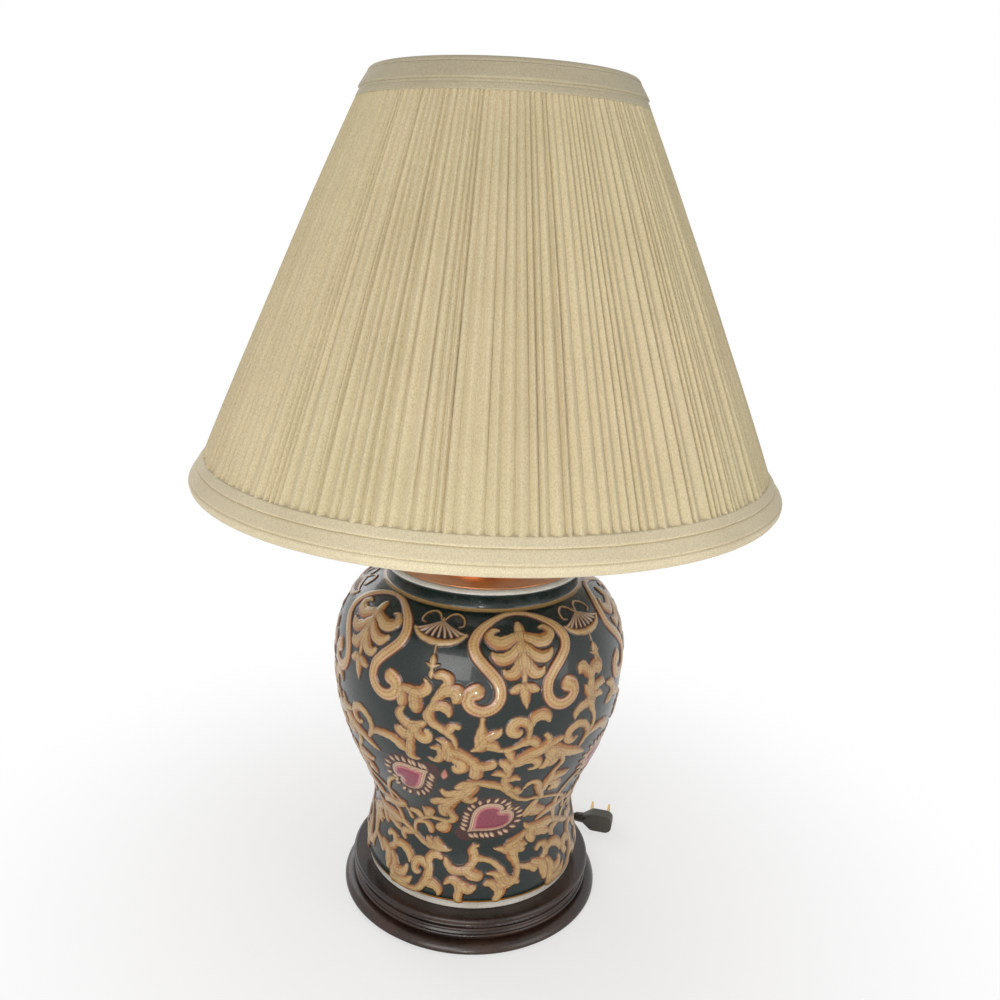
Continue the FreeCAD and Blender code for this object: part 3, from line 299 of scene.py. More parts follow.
SPRAY_LEFT = [   # under the shell at -17
    [(-15.3, 191.8, 1.2), (-13, 193, 1.8), (-10.8, 191.5, 2), (-10.3, 188, 1.9), (-11.5, 184.5, 2.2),
     (-13.3, 181, 1.8), (-15, 177.5, 1.3), (-16, 174, 1.2), (-16.6, 170.5, 1.8), (-17, 167, 2.2),
     (-15.5, 163.5, 1.8), (-12.5, 160.8, 1.6), (-10, 158, 1.5), (-7.8, 154.5, 1.2), (-7, 150.5, 1),
     (-6.7, 147.5, 0.8)],
    [(-12, 183, 1.8), (-9.5, 184.3, 2), (-7.2, 184, 2.8), (-6.7, 181.5, 2.6), (-7.8, 178.8, 1.2)],
    [(-16, 173, 1.5), (-13.5, 174.8, 1.9), (-11, 174.3, 2.1), (-9.8, 171.8, 1.6), (-9.7, 168.8, 0.5)],
    [(-9.9, 158.5, 1.3), (-9.3, 161.5, 1.8), (-7.8, 163.2, 1.3), (-6.3, 162.8, 1.2)],
    [(-18.5, 162.2, 1.2), (-21, 160, 1.8), (-24, 158.5, 2.2), (-27, 160.5, 2), (-28.7, 164, 1.8),
     (-28.2, 167.5, 1.3), (-26.8, 169.5, 0.6)],
    [(-21.5, 158, 2), (-21.3, 154.5, 2.2), (-19.5, 152.3, 2.4), (-17.6, 153, 2.2), (-17.3, 155.5, 1.5),
     (-18.3, 157.3, 0.8)],
    [(-24.5, 152, 2), (-27, 151.5, 2.4), (-29, 153.5, 2), (-29.5, 155.8, 0.8)],
    [(-23, 157, 2.2), (-23.8, 152, 1.9), (-24.3, 147, 1.9), (-24.6, 142, 2), (-24.8, 138.5, 2),
     (-23.3, 136.3, 1.2), (-21, 136.2, 0.4)],
    [(-29.5, 180.5, 1.2), (-26.5, 181.5, 1.7), (-23, 180.8, 2), (-20, 181.5, 2.2), (-18.3, 184.3, 2),
     (-18.6, 187.3, 1), (-19.5, 189, 0.4)],
    [(-28.5, 180, 1), (-27.8, 177, 2), (-27.6, 173.5, 2.3), (-28.4, 170.3, 0.8)],
    [(-22.5, 179.5, 2), (-22.3, 175.5, 2.8), (-22, 172, 2.6), (-22.6, 168.3, 0.6)],
    [(-24.4, 171, 0.6), (-22.2, 172.5, 1.6), (-19.8, 172.5, 0.6)],
]
SPRAY_RIGHT = [   # under the shell at 50
    [(50, 202, 0.5), (50.3, 199, 1.6), (50.8, 196.5, 1.2), (52.3, 191, 0.5)],
    [(45.5, 186, 2), (43.5, 190, 2.2), (41.7, 191.8, 2.2), (40.4, 189.5, 1)],
    [(47, 186.5, 2), (48.5, 189.5, 2.6), (50.5, 189.5, 2.8), (51.5, 186.8, 2), (50.8, 184.5, 0.8)],
    [(46.3, 188, 2.4), (46.5, 183, 1.8), (46.3, 179, 2), (46.5, 174, 2.6), (47, 169, 2.4),
     (47.3, 165.5, 1.8), (48.3, 162, 1.3), (49.6, 158, 1.1), (50.2, 154, 1.1), (50, 150, 1.1),
     (48, 147.5, 1.2)],
    [(47.5, 176, 2), (50, 177.5, 2), (52.5, 178, 1.8), (55, 176, 0.6)],
    [(48, 172.5, 2.2), (51, 171.5, 1.6), (53.8, 169, 0.5)],
    [(45.8, 173, 1.8), (44, 176.5, 1.6), (43, 179.8, 0.7)],
    [(46.5, 168, 2), (43.5, 168, 2), (40.5, 166.5, 1.8), (39, 164, 1.5), (38.8, 160.2, 0.4)],
    [(57, 174.3, 0.8), (60, 172.8, 1.8), (62.5, 169.5, 2), (63, 165.5, 2.2), (60.5, 162, 2),
     (57.8, 160.5, 0.8)],
    [(63, 166, 2.2), (66.5, 163, 2.2), (70, 159.5, 1.5)],
]
BODY = [
    # under the frame's left curl
    [(2.3, 169, 1.2), (2.2, 166.5, 0.9), (2.2, 162, 1.6), (2.4, 157, 2.6), (2.8, 152.5, 3),
     (1.5, 149.5, 1.8), (-1.3, 147.2, 0.5)],
    [(3, 156, 2), (5.5, 157.8, 2.2), (7.8, 159.8, 1.6), (9, 162.3, 0.5)],
    [(4, 152.5, 2.4), (6.5, 151.5, 2), (8.3, 149.6, 1)],
    [(19, 152.5, 0.9), (19.4, 156.5, 1.2), (19.3, 161, 1.4), (17.8, 165, 1.8), (15, 166.2, 2.1),
     (13, 163.5, 2.3), (13.4, 160, 2.3), (15, 158.5, 1.8), (16.3, 159.5, 0.9)],
    [(19.5, 161, 1), (20, 164.5, 1.6), (21, 168, 2.2), (23.5, 169.7, 2.4), (26, 168, 2), (27, 164.5, 0.8)],
    [(4, 149.5, 0.8), (7.5, 148.2, 0.9), (11, 147.8, 1.1), (14, 149, 1.2), (16.5, 151, 1.4),
     (18.5, 152.5, 2), (20.8, 152.8, 2), (22.8, 150.5, 1.8), (23, 147.8, 0.8)],
    [(11.5, 147.5, 1.2), (13, 145, 1.8), (13.7, 142, 1.6), (15, 138, 1)],
    # trunk, arch and the acanthus left of it
    [(10, 139, 1.4), (12, 137.5, 2.2), (13.3, 133, 1.8), (13.5, 129, 1.3), (12.5, 126, 1.6), (13, 121, 1.6),
     (15, 117, 1.6)],
    [(-2, 122.5, 2), (2, 122.8, 1.6), (6, 121.8, 2), (10, 120, 1.8), (13, 117, 1.6), (15.5, 113.5, 1.7),
     (18, 109.5, 1.5), (20.5, 106, 1.2), (25, 103.6, 1.1), (28.5, 103.8, 1.1), (33, 102.2, 1.1),
     (38, 100.4, 1), (43, 98, 1.1), (48, 95, 1.1), (52, 90.5, 1), (55, 86, 1), (57, 80, 1.2)],
    [(-16, 146.5, 0.8), (-13.5, 147, 1.4), (-12, 143.5, 1.8), (-13, 139.5, 1.6), (-15, 137.5, 1),
     (-17.5, 138.8, 0.4)],
    [(-14, 153, 0.6), (-11, 151.5, 1.6), (-9.5, 147, 2.4), (-9, 142, 2.8)],
    [(-8, 146, 2.4), (-5, 144.5, 2.2), (-2.5, 142, 2), (0, 138.5, 2.2), (1, 133.5, 2.6), (0.8, 129, 2.4)],
    [(1, 136.5, 2), (4, 136, 2.2), (6.5, 137.5, 2), (7, 140.5, 0.6)],
    [(-7, 140, 2.2), (-4.5, 138, 2.4), (-4.3, 134, 2.2), (-6.5, 132, 1.8), (-8, 134.5, 0.8)],
    [(7, 129.5, 0.6), (9.5, 130.5, 1.6), (12, 129, 1.6)],
    [(13.5, 125, 1.6), (16.5, 125.5, 1.6), (18.5, 123.5, 0.6)],
    [(16, 115.5, 1.2), (18, 115.3, 1.6), (19.5, 112, 1.4), (21, 113.5, 0.5)],
    # the leaf cluster between the hearts
    [(-1, 120.5, 2.5), (-4, 119, 2.4), (-6.8, 117.3, 1)],
    [(0, 119, 2.6), (-2.5, 114, 3), (-5.5, 109.5, 2.4), (-8.5, 105.5, 2.4), (-11, 101.5, 3),
     (-12.5, 97.5, 2.8), (-13.5, 93.5, 2)],
    [(-5.5, 113, 2), (-8.5, 111, 2.2), (-11, 110.3, 2), (-12.8, 112.3, 1.4), (-13, 114.6, 0.5)],
    [(-3, 109.5, 2.4), (-1.8, 107.2, 2.3), (0.3, 107.5, 1.6), (1.3, 109.5, 0.6)],
    [(-12, 103, 2), (-15, 102.8, 2.2), (-17.5, 101.5, 1.8), (-18.3, 100, 0.8)],
    [(-12.5, 99, 2.4), (-14, 95.5, 2), (-13.8, 92, 1.8), (-12.3, 90.3, 0.8)],
    [(-11.5, 97, 2.2), (-10.3, 93.5, 1.9), (-9, 90.5, 1.8), (-8.8, 87.5, 1.6), (-10.8, 85.3, 1.3),
     (-14, 84.8, 1.2), (-17, 85.3, 1.1), (-20, 85.5, 1), (-23, 84.5, 1), (-26, 82, 1), (-29, 79, 1.1),
     (-31, 76, 1), (-31.8, 72, 0.9), (-31.2, 69, 0.8)],
    [(-13.5, 84.5, 1.2), (-13.2, 82, 2), (-14.5, 78.8, 2.8), (-16.8, 77.5, 1.8), (-17.6, 76, 0.6)],
    [(-23, 85.5, 1.3), (-22.3, 88.5, 2), (-21, 91.8, 2.2), (-19.8, 90.5, 1)],
    [(-22.3, 88.5, 1.6), (-23.6, 91.5, 1.2), (-24.3, 93.5, 0.5)],
    [(-27, 83.5, 1.6), (-28.5, 86, 1.8), (-30.8, 86.8, 1.6), (-33.3, 85.7, 0.6)],
    [(-29, 78, 1), (-26, 79.8, 1.2), (-23.5, 79.3, 1.6), (-22, 76.8, 1.8), (-21.8, 74, 1.4),
     (-22.3, 72.5, 0.7)],
    # the stem under the upper heart and its leaves
    [(-36.3, 112, 0.9), (-38.5, 109.8, 1.1), (-41, 106.5, 1.1), (-43, 102, 1.1), (-44.3, 97.5, 1.1),
     (-44.5, 93, 1.2), (-43.5, 88.5, 1.3), (-42.5, 83, 1.4), (-41, 78.5, 1.2), (-40, 75, 1.1),
     (-38.5, 72.5, 1.1), (-36, 70.3, 1.1), (-33, 68.5, 1.2), (-30.5, 66.8, 1.3), (-27.5, 64.5, 1.3),
     (-24, 62.8, 1.3), (-19, 61.8, 1.3), (-14, 61.6, 0.9), (-10.5, 62.2, 0.4)],
    [(-54, 80.5, 1), (-50, 85, 2.2), (-45.5, 86.3, 2.8), (-41.5, 87, 2.4), (-38.5, 88.2, 2),
     (-36.5, 90, 1.6), (-35.8, 87.2, 0.8)],
    [(-24.2, 68.3, 0.7), (-22.6, 66.3, 1.7), (-20, 64.3, 2), (-16, 62.8, 1.6), (-11, 62.1, 0.5)],
    [(-19.8, 69, 0.6), (-18.5, 67.2, 1.6), (-16.5, 64.8, 1.6), (-13.5, 63, 0.8)],
    [(-33, 67.3, 1), (-36.5, 66.8, 1.5), (-39.3, 65.5, 1.7), (-40, 63, 1.5), (-38.5, 60.8, 0.8)],
    # leaves right of the lower heart
    [(28.3, 80.5, 0.5), (30.5, 77.5, 1.4), (34, 75.2, 2.2), (39, 74, 2.8), (44, 73.8, 3), (49, 72.8, 1.8),
     (53, 71, 1.3), (57, 69.2, 1)],
    [(34, 73, 2), (34.3, 68.5, 2.6), (35.5, 65, 1.6), (35, 63.2, 0.6)],
    [(38, 70.5, 2.4), (42, 68.5, 2), (46, 66.3, 1.6), (49, 64.2, 0.5)],
    [(31, 101, 1), (30, 97.5, 1.8), (29.5, 93.5, 2.3), (28, 89.5, 2), (26.8, 88, 0.8)],
    [(30.5, 94.5, 2), (33.5, 91, 2.3), (36.5, 89, 2), (38.3, 88.8, 0.8)],
    [(30, 91, 2.4), (32.5, 88.3, 2), (35.5, 86.3, 1.2)],
    [(33, 102.8, 1.1), (31.5, 106, 1.4), (29.8, 110, 1.7), (28.5, 114, 1.8), (27.5, 117.5, 1.5),
     (25, 119.5, 1.2), (22.8, 118, 1), (21.5, 115, 0.6)],
    [(31.8, 109, 1.5), (32, 114, 2), (33, 118, 2.4), (33.5, 121.5, 1.8), (33.6, 124.5, 1.2),
     (35.3, 127.5, 1.2), (36.8, 131, 1.3), (36, 135, 1.3), (33.5, 138.5, 1.5)],
    [(34.5, 119.5, 2.4), (38, 119.8, 2.2), (41, 119.2, 1.6), (43, 120.3, 0.6)],
    [(35, 115, 1.8), (38, 113, 2.2), (39, 109.5, 2.4), (40.3, 106.8, 1)],
    [(38, 110, 2), (36.2, 108.3, 1.3)],
    # the large acanthus and its curls
    [(13.5, 135, 1.4), (15, 138, 1.8), (17.5, 141, 2.2), (21, 143.5, 2.6), (25, 145.5, 2.8),
     (28, 147.5, 2.4), (30.5, 149, 1.8), (33.5, 150.2, 1.2)],
    [(27.5, 148.5, 2), (27.8, 151.5, 1.6), (26.8, 154.3, 1.2), (25.8, 155, 0.6)],
    [(30, 144.5, 3), (34, 141, 2.6), (38, 138.3, 2.4), (42, 136, 2.2), (46, 133.2, 1.4), (49, 131, 0.6)],
    [(29, 143, 2.4), (29.8, 139.5, 2), (29.8, 135.5, 2), (28.3, 132, 1.6), (26.3, 130.8, 0.8)],
    [(16, 136, 1.4), (19, 138.5, 1.8), (22.5, 138.8, 2), (24.8, 136.3, 1.9), (25, 133.5, 1.5),
     (23.5, 131.5, 0.9), (21.5, 131.3, 0.6)],
    [(30, 141, 2.6), (32.5, 137, 2.2), (31.8, 133, 1.8), (30, 131, 0.8)],
    [(44.5, 139, 0.7), (46, 142.5, 1.2), (47.2, 146.5, 1.5), (46.5, 150.5, 1.5), (44.5, 154, 1.6),
     (41, 156, 1.8), (37.5, 153.8, 1.9), (36.4, 150, 1.9), (37.5, 146.8, 1.9), (39.5, 145.3, 1.2),
     (41.2, 146.8, 0.8)],
    [(-45.5, 138.5, 1), (-43.5, 143, 1.3), (-41, 145.5, 1.5), (-37, 146.6, 1.8), (-33, 146.5, 2),
     (-30.5, 145, 2.2), (-28.5, 143, 2.4), (-27, 141, 1.5)],
]
BORDER = [
    [(-51.5, 57.2, 1.4), (-49.5, 59, 1.3), (-46.5, 58.5, 1.5), (-44.8, 55.5, 1.8), (-45.5, 52, 1.6),
     (-48, 50, 1.4)],
    [(-44, 54.5, 1.5), (-41, 56, 1.8), (-37.5, 55.3, 2), (-34.5, 53, 2), (-33, 50, 1.6),
     (-33.5, 47.8, 0.8)],
    [(-55, 50, 1.2), (-52, 48.5, 1.8), (-48.5, 46.5, 2.6), (-47.5, 42.5, 2.6), (-47.5, 37, 1.6)],
    [(-46, 47.5, 1.4), (-43.5, 44.5, 1.6), (-42.3, 40.5, 2), (-43, 37, 2.2), (-43.5, 32.5, 2.2),
     (-43.5, 28.5, 1.8)],
    [(-43.5, 33, 2.4), (-39.5, 32.5, 3), (-36, 33.5, 2.6), (-33.5, 35, 1.6), (-31.8, 37.5, 0.9)],
    [(-40, 38, 2.4), (-37, 39.3, 2), (-35.3, 42, 1.3), (-35.2, 44.5, 0.6)],
    [(-41, 30.5, 2), (-36, 29.8, 1.8), (-32, 30.2, 1.4), (-29, 31, 1.4), (-26.5, 33, 1.5),
     (-24.5, 36.5, 1.7), (-22.7, 40.5, 1.9), (-21.8, 45, 2), (-22, 49.5, 1.8), (-22.5, 53.5, 1.7),
     (-20.8, 57, 1.8), (-18.2, 57.8, 1.8), (-15.8, 56.5, 1.2)],
    [(-24, 49, 1.6), (-26.3, 51, 1.8), (-28.8, 50, 2), (-30, 46.8, 1.9), (-29, 43.8, 1.5),
     (-27, 43.3, 0.9)],
    [(-22, 38.5, 2.2), (-19, 38.8, 2.3), (-16.5, 37.3, 2), (-15.3, 34, 1.5), (-16, 31.8, 0.6)],
    [(-13, 56.2, 1), (-11.8, 53, 1.6), (-9, 50, 1.9), (-5, 49.7, 1.8), (-2, 50.5, 2), (0, 53, 1.8),
     (1.5, 56, 1.8), (1.8, 60, 2), (1, 63.5, 1.8), (1.8, 66.5, 1.2), (3.8, 66.7, 0.8)],
    [(2.5, 58.5, 1.8), (5.5, 58, 1.4), (9, 57, 1.2), (12, 55.3, 1.2), (15, 52, 1.3), (17, 49, 1.5),
     (18.3, 45.5, 1.6), (20, 43, 1.8), (23, 41.5, 1.6), (25.5, 40, 1)],
    [(-1.5, 50, 2), (1.5, 48, 2.6), (4, 47, 2.2), (5.3, 46.5, 1.2)],
    [(-12.5, 40.5, 0.8), (-10, 43.5, 1.6), (-7, 43, 2), (-4.5, 40, 2.4), (-5, 36, 1.8), (-5.5, 32, 1.8),
     (-5, 28.8, 1.6)],
    [(-3, 40, 2.6), (0, 38, 2), (2, 39.5, 1.4)],
    [(9, 48.3, 0.6), (12.5, 48, 1.2), (15.5, 46, 2), (17, 42.5, 2.6)],
    [(8, 41.5, 1), (10.5, 42.3, 1.6), (13.5, 40.5, 2.2), (16, 37.5, 2.4), (15.5, 33.5, 2), (14, 30.5, 1.6)],
    [(17, 41, 2.6), (20.5, 41, 2.2), (23.5, 42.5, 1.8), (25, 46, 1.5), (25.3, 50, 1.5), (24.3, 54, 1.8),
     (23, 58, 2.4), (22.5, 62, 3)],
    [(12.8, 64, 0.5), (16, 63.5, 1.2), (20, 62.8, 2.2), (24, 63, 3), (27, 62.2, 2.2), (29, 60.5, 1.4)],
    [(20, 65, 1.6), (23.5, 67, 2.4), (27, 69.5, 2), (29.5, 72.3, 1.4), (31, 73.3, 0.6)],
    [(26, 65.5, 2.4), (29, 64, 1.6), (31.5, 63, 0.7)],
    [(25.5, 50.5, 1.2), (29, 49, 1.2), (33, 47.8, 1.6), (36, 46, 2)],
]
BUDS = [[(-11.3, 131, 0.8), (-11.5, 127, 2.4), (-12, 124, 1)]]
HEARTS = [   # (degrees, height), way to the tip in degrees, tip, length and width in mm, petals
    ((-27.1, 119.4), 32.6, 17.0, 29.0, 22.5, 22),
    ((8.9, 89.2), 224.0, 19.5, 33.0, 28.5, 26),
]
LEAF_FLESH = 1.72            # drawn widths to modelled ones
FRAME_FLESH = 1.14
PALMETTE_FLESH = 1.5


# ---- meshes from the frame's own profiles ----

def profile(node):
    """A turned CAD piece's outline as (radius, height) points in mm, going up its outer side."""
    source = bpy.data.objects[node]
    bm = bmesh.new()
    bm.from_mesh(source.data)
    bm.transform(source.matrix_world)
    bmesh.ops.remove_doubles(bm, verts=bm.verts, dist=1e-6)
    every = bm.verts[:] + bm.edges[:] + bm.faces[:]
    cut = bmesh.ops.bisect_plane(bm, geom=every, plane_co=(0, 2e-5, 0), plane_no=(0, 1, 0))["geom_cut"]
    links = {}
    for edge in cut:
        if isinstance(edge, bmesh.types.BMEdge) and edge.verts[0].co.x > 0:
            a, b = edge.verts
            links.setdefault(a, []).append(b)
            links.setdefault(b, []).append(a)
    here = max(links, key=lambda v: v.co.x)
    loop, used = [], set()
    while here is not None:
        used.add(here)
        loop.append((math.hypot(here.co.x, here.co.y) / MM, here.co.z / MM))
        here = next((v for v in links[here] if v not in used), None)
    bm.free()
    loop = np.array(loop)
    r, z = loop.T
    if np.sum(r * np.roll(z, -1) - np.roll(r, -1) * z) < 0:
        loop = loop[::-1]
    return loop


def refine(loop, step_at):
    """More points along a closed outline, no further apart than step_at(radius, height)."""
    out = []
    for a, b in zip(loop, np.roll(loop, -1, axis=0)):
        pieces = max(1, int(math.ceil(np.linalg.norm(b - a) / step_at(*(a + b) / 2))))
        out += [a + (b - a) * k / pieces for k in range(pieces)]
    return np.array(out)


def revolve(outline, turn):
    """Points (rows, columns, 3) in metres; turn is each column's angle from the front."""
    r, z = outline[..., 0], outline[..., 1]
    return np.stack([r * np.sin(turn), -r * np.cos(turn), z + 0 * turn], -1) * MM


def grid_mesh(name, grid, closed):
    """A smooth mesh of a grid that meets itself sideways, and also end to end where closed."""
    rows, cols = grid.shape[:2]
    i = np.arange(rows if closed else rows - 1)[:, None]
    j = np.arange(cols)[None, :]
    after, beside = (i + 1) % rows, (j + 1) % cols
    quads = np.stack([i * cols + j, i * cols + beside, after * cols + beside, after * cols + j], -1)
    quads = quads.reshape(-1, 4)
    mesh = bpy.data.meshes.new(name)
    mesh.vertices.add(rows * cols)
    mesh.vertices.foreach_set("co", grid.astype(np.float32).ravel())
    mesh.loops.add(quads.size)
    mesh.loops.foreach_set("vertex_index", quads.astype(np.int32).ravel())
    mesh.polygons.add(len(quads))
    mesh.polygons.foreach_set("loop_start", np.arange(0, quads.size, 4, dtype=np.int32))
    mesh.polygons.foreach_set("use_smooth", np.ones(len(quads), dtype=bool))
    mesh.update(calc_edges=True)
    u = np.stack([j + 0 * i, j + 1 + 0 * i, j + 1 + 0 * i, j + 0 * i], -1) / cols
    v = np.stack([i + 0 * j, i + 0 * j, i + 1 + 0 * j, i + 1 + 0 * j], -1) / rows
    layer = mesh.uv_layers.new(name="OFBake")
    layer.data.foreach_set("uv", np.stack([u, v], -1).astype(np.float32).ravel())
    piece = bpy.data.objects.new(name, mesh)
    bpy.context.scene.collection.objects.link(piece)
    return piece


# ---- the ornament's distance field ----

def smooth_stroke(points, steps=6):
    """A smooth line through the given points, with its half width."""
    p = np.array(points, dtype=float)
    p = np.vstack([2 * p[0] - p[1], p, 2 * p[-1] - p[-2]])
    out = []
    for k in range(1, len(p) - 2):
        a, b, c, d = p[k - 1:k + 3]
        for t in np.arange(steps) / steps:
            out.append(0.5 * (2 * b + (c - a) * t + (2 * a - 5 * b + 4 * c - d) * t ** 2
                              + (3 * b - a - 3 * c + d) * t ** 3))
    out.append(p[-2])
    out = np.array(out)
    out[:, 2] = np.maximum(out[:, 2], 0.3)
    return out


LEAF, FRAME, RIB, BUD = range(4)
LOBE = 5.5                   # mm along a leaf from one lobe to the next


class Field:
    """How deep each point of a strip of the jar lies in the strokes laid on it."""

    def __init__(self, start, span, cols, z, r, arc):
        self.turn = start + span * np.arange(cols) / cols
        self.span, self.z, self.r, self.arc = span, z, r, arc
        shape = (len(z), cols)
        self.depth = np.full(shape, -99.0)
        self.line = np.full(shape, 99.0)
        self.width = np.ones(shape)
        self.along = np.zeros(shape)
        self.across = np.zeros(shape)
        self.kind = np.zeros(shape, dtype=int)

    def flat(self, turn, z, middle):
        """Degrees and heights as mm round and up the surface."""
        return np.radians(turn - middle) * np.interp(z, self.z, self.r), np.interp(z, self.z, self.arc)

    def stroke(self, points, kind=0, flesh=1.0, margin=3.0):
        line = smooth_stroke(points)
        line[:, 2] = line[:, 2] * flesh + 0.1 * (flesh > 1.2)
        for shift in (-self.span, 0, self.span):
            self.lay(line[:, 0] + shift, line[:, 1], line[:, 2], kind, margin)

    def lay(self, turn, z, half, kind, margin):
        reach = half.max() + margin
        degrees = math.degrees(reach / np.interp(z, self.z, self.r).min())
        cols = np.nonzero((self.turn > turn.min() - degrees) & (self.turn < turn.max() + degrees))[0]
        up = np.interp(z, self.z, self.arc)
        rows = np.nonzero((self.arc > up.min() - reach) & (self.arc < up.max() + reach))[0]
        if not len(cols) or not len(rows):
            return
        window = np.ix_(rows, cols)
        middle = turn.mean()
        x, y = self.flat(turn, z, middle)
        px = (np.radians(self.turn[cols] - middle)[None, :] * self.r[rows][:, None]).astype(np.float32)
        py = np.repeat(self.arc[rows][:, None], len(cols), axis=1).astype(np.float32)
        depth = np.full(px.shape, -99.0)
        along, across, width = np.zeros(px.shape), np.zeros(px.shape), np.ones(px.shape)
        run = 0.0
        for k in range(len(x) - 1):
            dx, dy = x[k + 1] - x[k], y[k + 1] - y[k]
            length = math.hypot(dx, dy) + 1e-9
            t = np.clip(((px - x[k]) * dx + (py - y[k]) * dy) / length ** 2, 0, 1)
            ox, oy = px - x[k] - t * dx, py - y[k] - t * dy
            here = half[k] + t * (half[k + 1] - half[k])
            if kind == LEAF:
                here = here * (1 + 0.13 * (np.abs(np.sin(math.pi * (run + t * length) / LOBE)) - 0.6))
            inside = here - np.hypot(ox, oy)
            best = inside > depth
            depth = np.where(best, inside, depth)
            along = np.where(best, run + t * length, along)
            across = np.where(best, (dx * oy - dy * ox) / length / here, across)
            width = np.where(best, here, width)
            run += length
        near = self.line[window]
        self.line[window] = np.minimum(near, np.abs(depth))
        better = depth > self.depth[window]
        for name, value in (("depth", depth), ("along", along), ("across", across), ("width", width)):
            store = getattr(self, name)
            store[window] = np.where(better, value, store[window])
        self.kind[window] = np.where(better, kind, self.kind[window])


# ---- the jar ----

FINE_LOW, FINE_HIGH = 24.0, 232.6
ROW_STEP = 0.55
COLUMNS = 1200
NECK_LINE = (221.9, 223.0)
VEINS = (-0.5, 0.0, 0.5)     # across a leaf, as shares of its half width
RIM_WHITE = 232.0
FOOT_WHITE = 28.2
FOOT_LINE = 29.2
RELIEF_START = (26.5, 28.5)  # the relief fades in above the foot and out under the neck
RELIEF_END = (222, 223)
RELIEF_MOST = 1.35
WALL_SMOOTHING = 12          # passes that take the facets out of the wall's outline
HALO = (-7.5, -5.0)          # mm outside a heart over which the dark red ground fades in
HEART_LINES = (1.15, 2.35)   # mm inside a heart's edge


def mirrored(points, axis):
    return [(axis - t, z, w) for t, z, w in points]


def shifted(points, axis):
    return [(axis + t, z, w) for t, z, w in points]


def lay_shoulder(field):
    """Frames, palmettes and shells round the shoulder, and the sprays hanging between them."""
    for axis in SHELL_AXES:
        field.stroke(shifted(SHELL_FRINGE, axis))
        for k in range(-4, 5):
            rib = [(axis + 0.3 * k, SHELL_HUB, 0.6), (axis + 2.0 * k, 214.2, 0.95),
                   (axis + 2.75 * k, 211.5 + 0.11 * k * k, 1.0)]
            field.stroke(rib, RIB)
        field.stroke([(axis, SHELL_HUB + 1.6, 0.7), (axis, SHELL_HUB - 1.0, 1.7)])
        for side in (shifted, mirrored):
            field.stroke(side(SHELL_ARC, axis), LEAF)
        for points in PENDANT:
            field.stroke(shifted(points, axis), flesh=1.25)
    for k, axis in enumerate(SHELL_AXES):
        spray, home = (SPRAY_LEFT, -17) if k % 2 == 0 else (SPRAY_RIGHT, 50)
        for points in spray:
            field.stroke(shifted(points, axis - home), flesh=LEAF_FLESH)
    for axis in FRAME_AXES:
        for points in PALMETTE_MID:
            field.stroke(shifted(points, axis), flesh=PALMETTE_FLESH)
        for points in PALMETTE_SIDE:
            field.stroke(shifted(points, axis), flesh=PALMETTE_FLESH)
            field.stroke(mirrored(points, axis), flesh=PALMETTE_FLESH)
        field.stroke(shifted(FRAME_SIDE, axis), FRAME, FRAME_FLESH)
        field.stroke(mirrored(FRAME_SIDE, axis), FRAME, FRAME_FLESH)


def heart_outline(field, heart):
    """A heart's outline in flat mm, and the way back from its tip."""
    (turn, z), way, tip, length, width, _ = heart
    x0, y0 = (v[0] for v in field.flat(np.array([turn]), np.array([z]), turn))
    t = np.linspace(0, math.tau, 97)[:-1]
    high = 13 * np.cos(t) - 3.2 * np.cos(2 * t) - 1.2 * np.cos(3 * t) - 0.6 * np.cos(4 * t)
    along = tip - (high - high.min()) * length / np.ptp(high)
    aside = np.sin(t) ** 3 * width / 2
    c, s = math.cos(math.radians(way)), math.sin(math.radians(way))
    outline = np.stack([x0 + along * c - aside * s, y0 + along * s + aside * c], -1)
    return outline, np.array([-c, -s])


def outline_depth(outline, px, py):
    """How deep each point lies inside a closed outline, negative outside."""
    nearest = np.full(px.shape, 1e9)
    inside = np.zeros(px.shape, dtype=bool)
    for (ax, ay), (bx, by) in zip(outline, np.roll(outline, -1, axis=0)):
        dx, dy = bx - ax, by - ay
        t = np.clip(((px - ax) * dx + (py - ay) * dy) / (dx * dx + dy * dy + 1e-12), 0, 1)
        nearest = np.minimum(nearest, (px - ax - t * dx) ** 2 + (py - ay - t * dy) ** 2)
        if dy:
            crossed = ((ay > py) != (by > py)) & (px < ax + (py - ay) / dy * dx)
            inside ^= crossed
    return np.sqrt(nearest) * np.where(inside, 1, -1)


def heart_petals(field, heart, outline, back):
    """A wreath of short petals close round the heart, leaning back from its tip."""
    turn = heart[0][0]
    ahead = np.roll(outline, -1, axis=0) - outline
    area = np.sum(outline[:, 0] * np.roll(outline[:, 1], -1) - np.roll(outline[:, 0], -1) * outline[:, 1])
    run = np.concatenate([[0], np.cumsum(np.hypot(*ahead.T))])
    for k in range(heart[5]):
        at = int(np.searchsorted(run, run[-1] * (k + 0.5) / heart[5])) % len(outline)
        normal = np.array([ahead[at][1], -ahead[at][0]]) / (np.hypot(*ahead[at]) + 1e-9)
        normal *= math.copysign(1, area)
        lean = normal + 0.5 * back
        lean /= np.hypot(*lean)
        root = outline[at] + 1.7 * normal
        places = [root, root + 2.1 * lean, root + 4.3 * lean]
        z = [np.interp(p[1], field.arc, field.z) for p in places]
        turns = [turn + math.degrees(p[0] / np.interp(h, field.z, field.r)) for p, h in zip(places, z)]
        field.stroke(list(zip(turns, z, (0.9, 1.5, 0.5))), RIB)


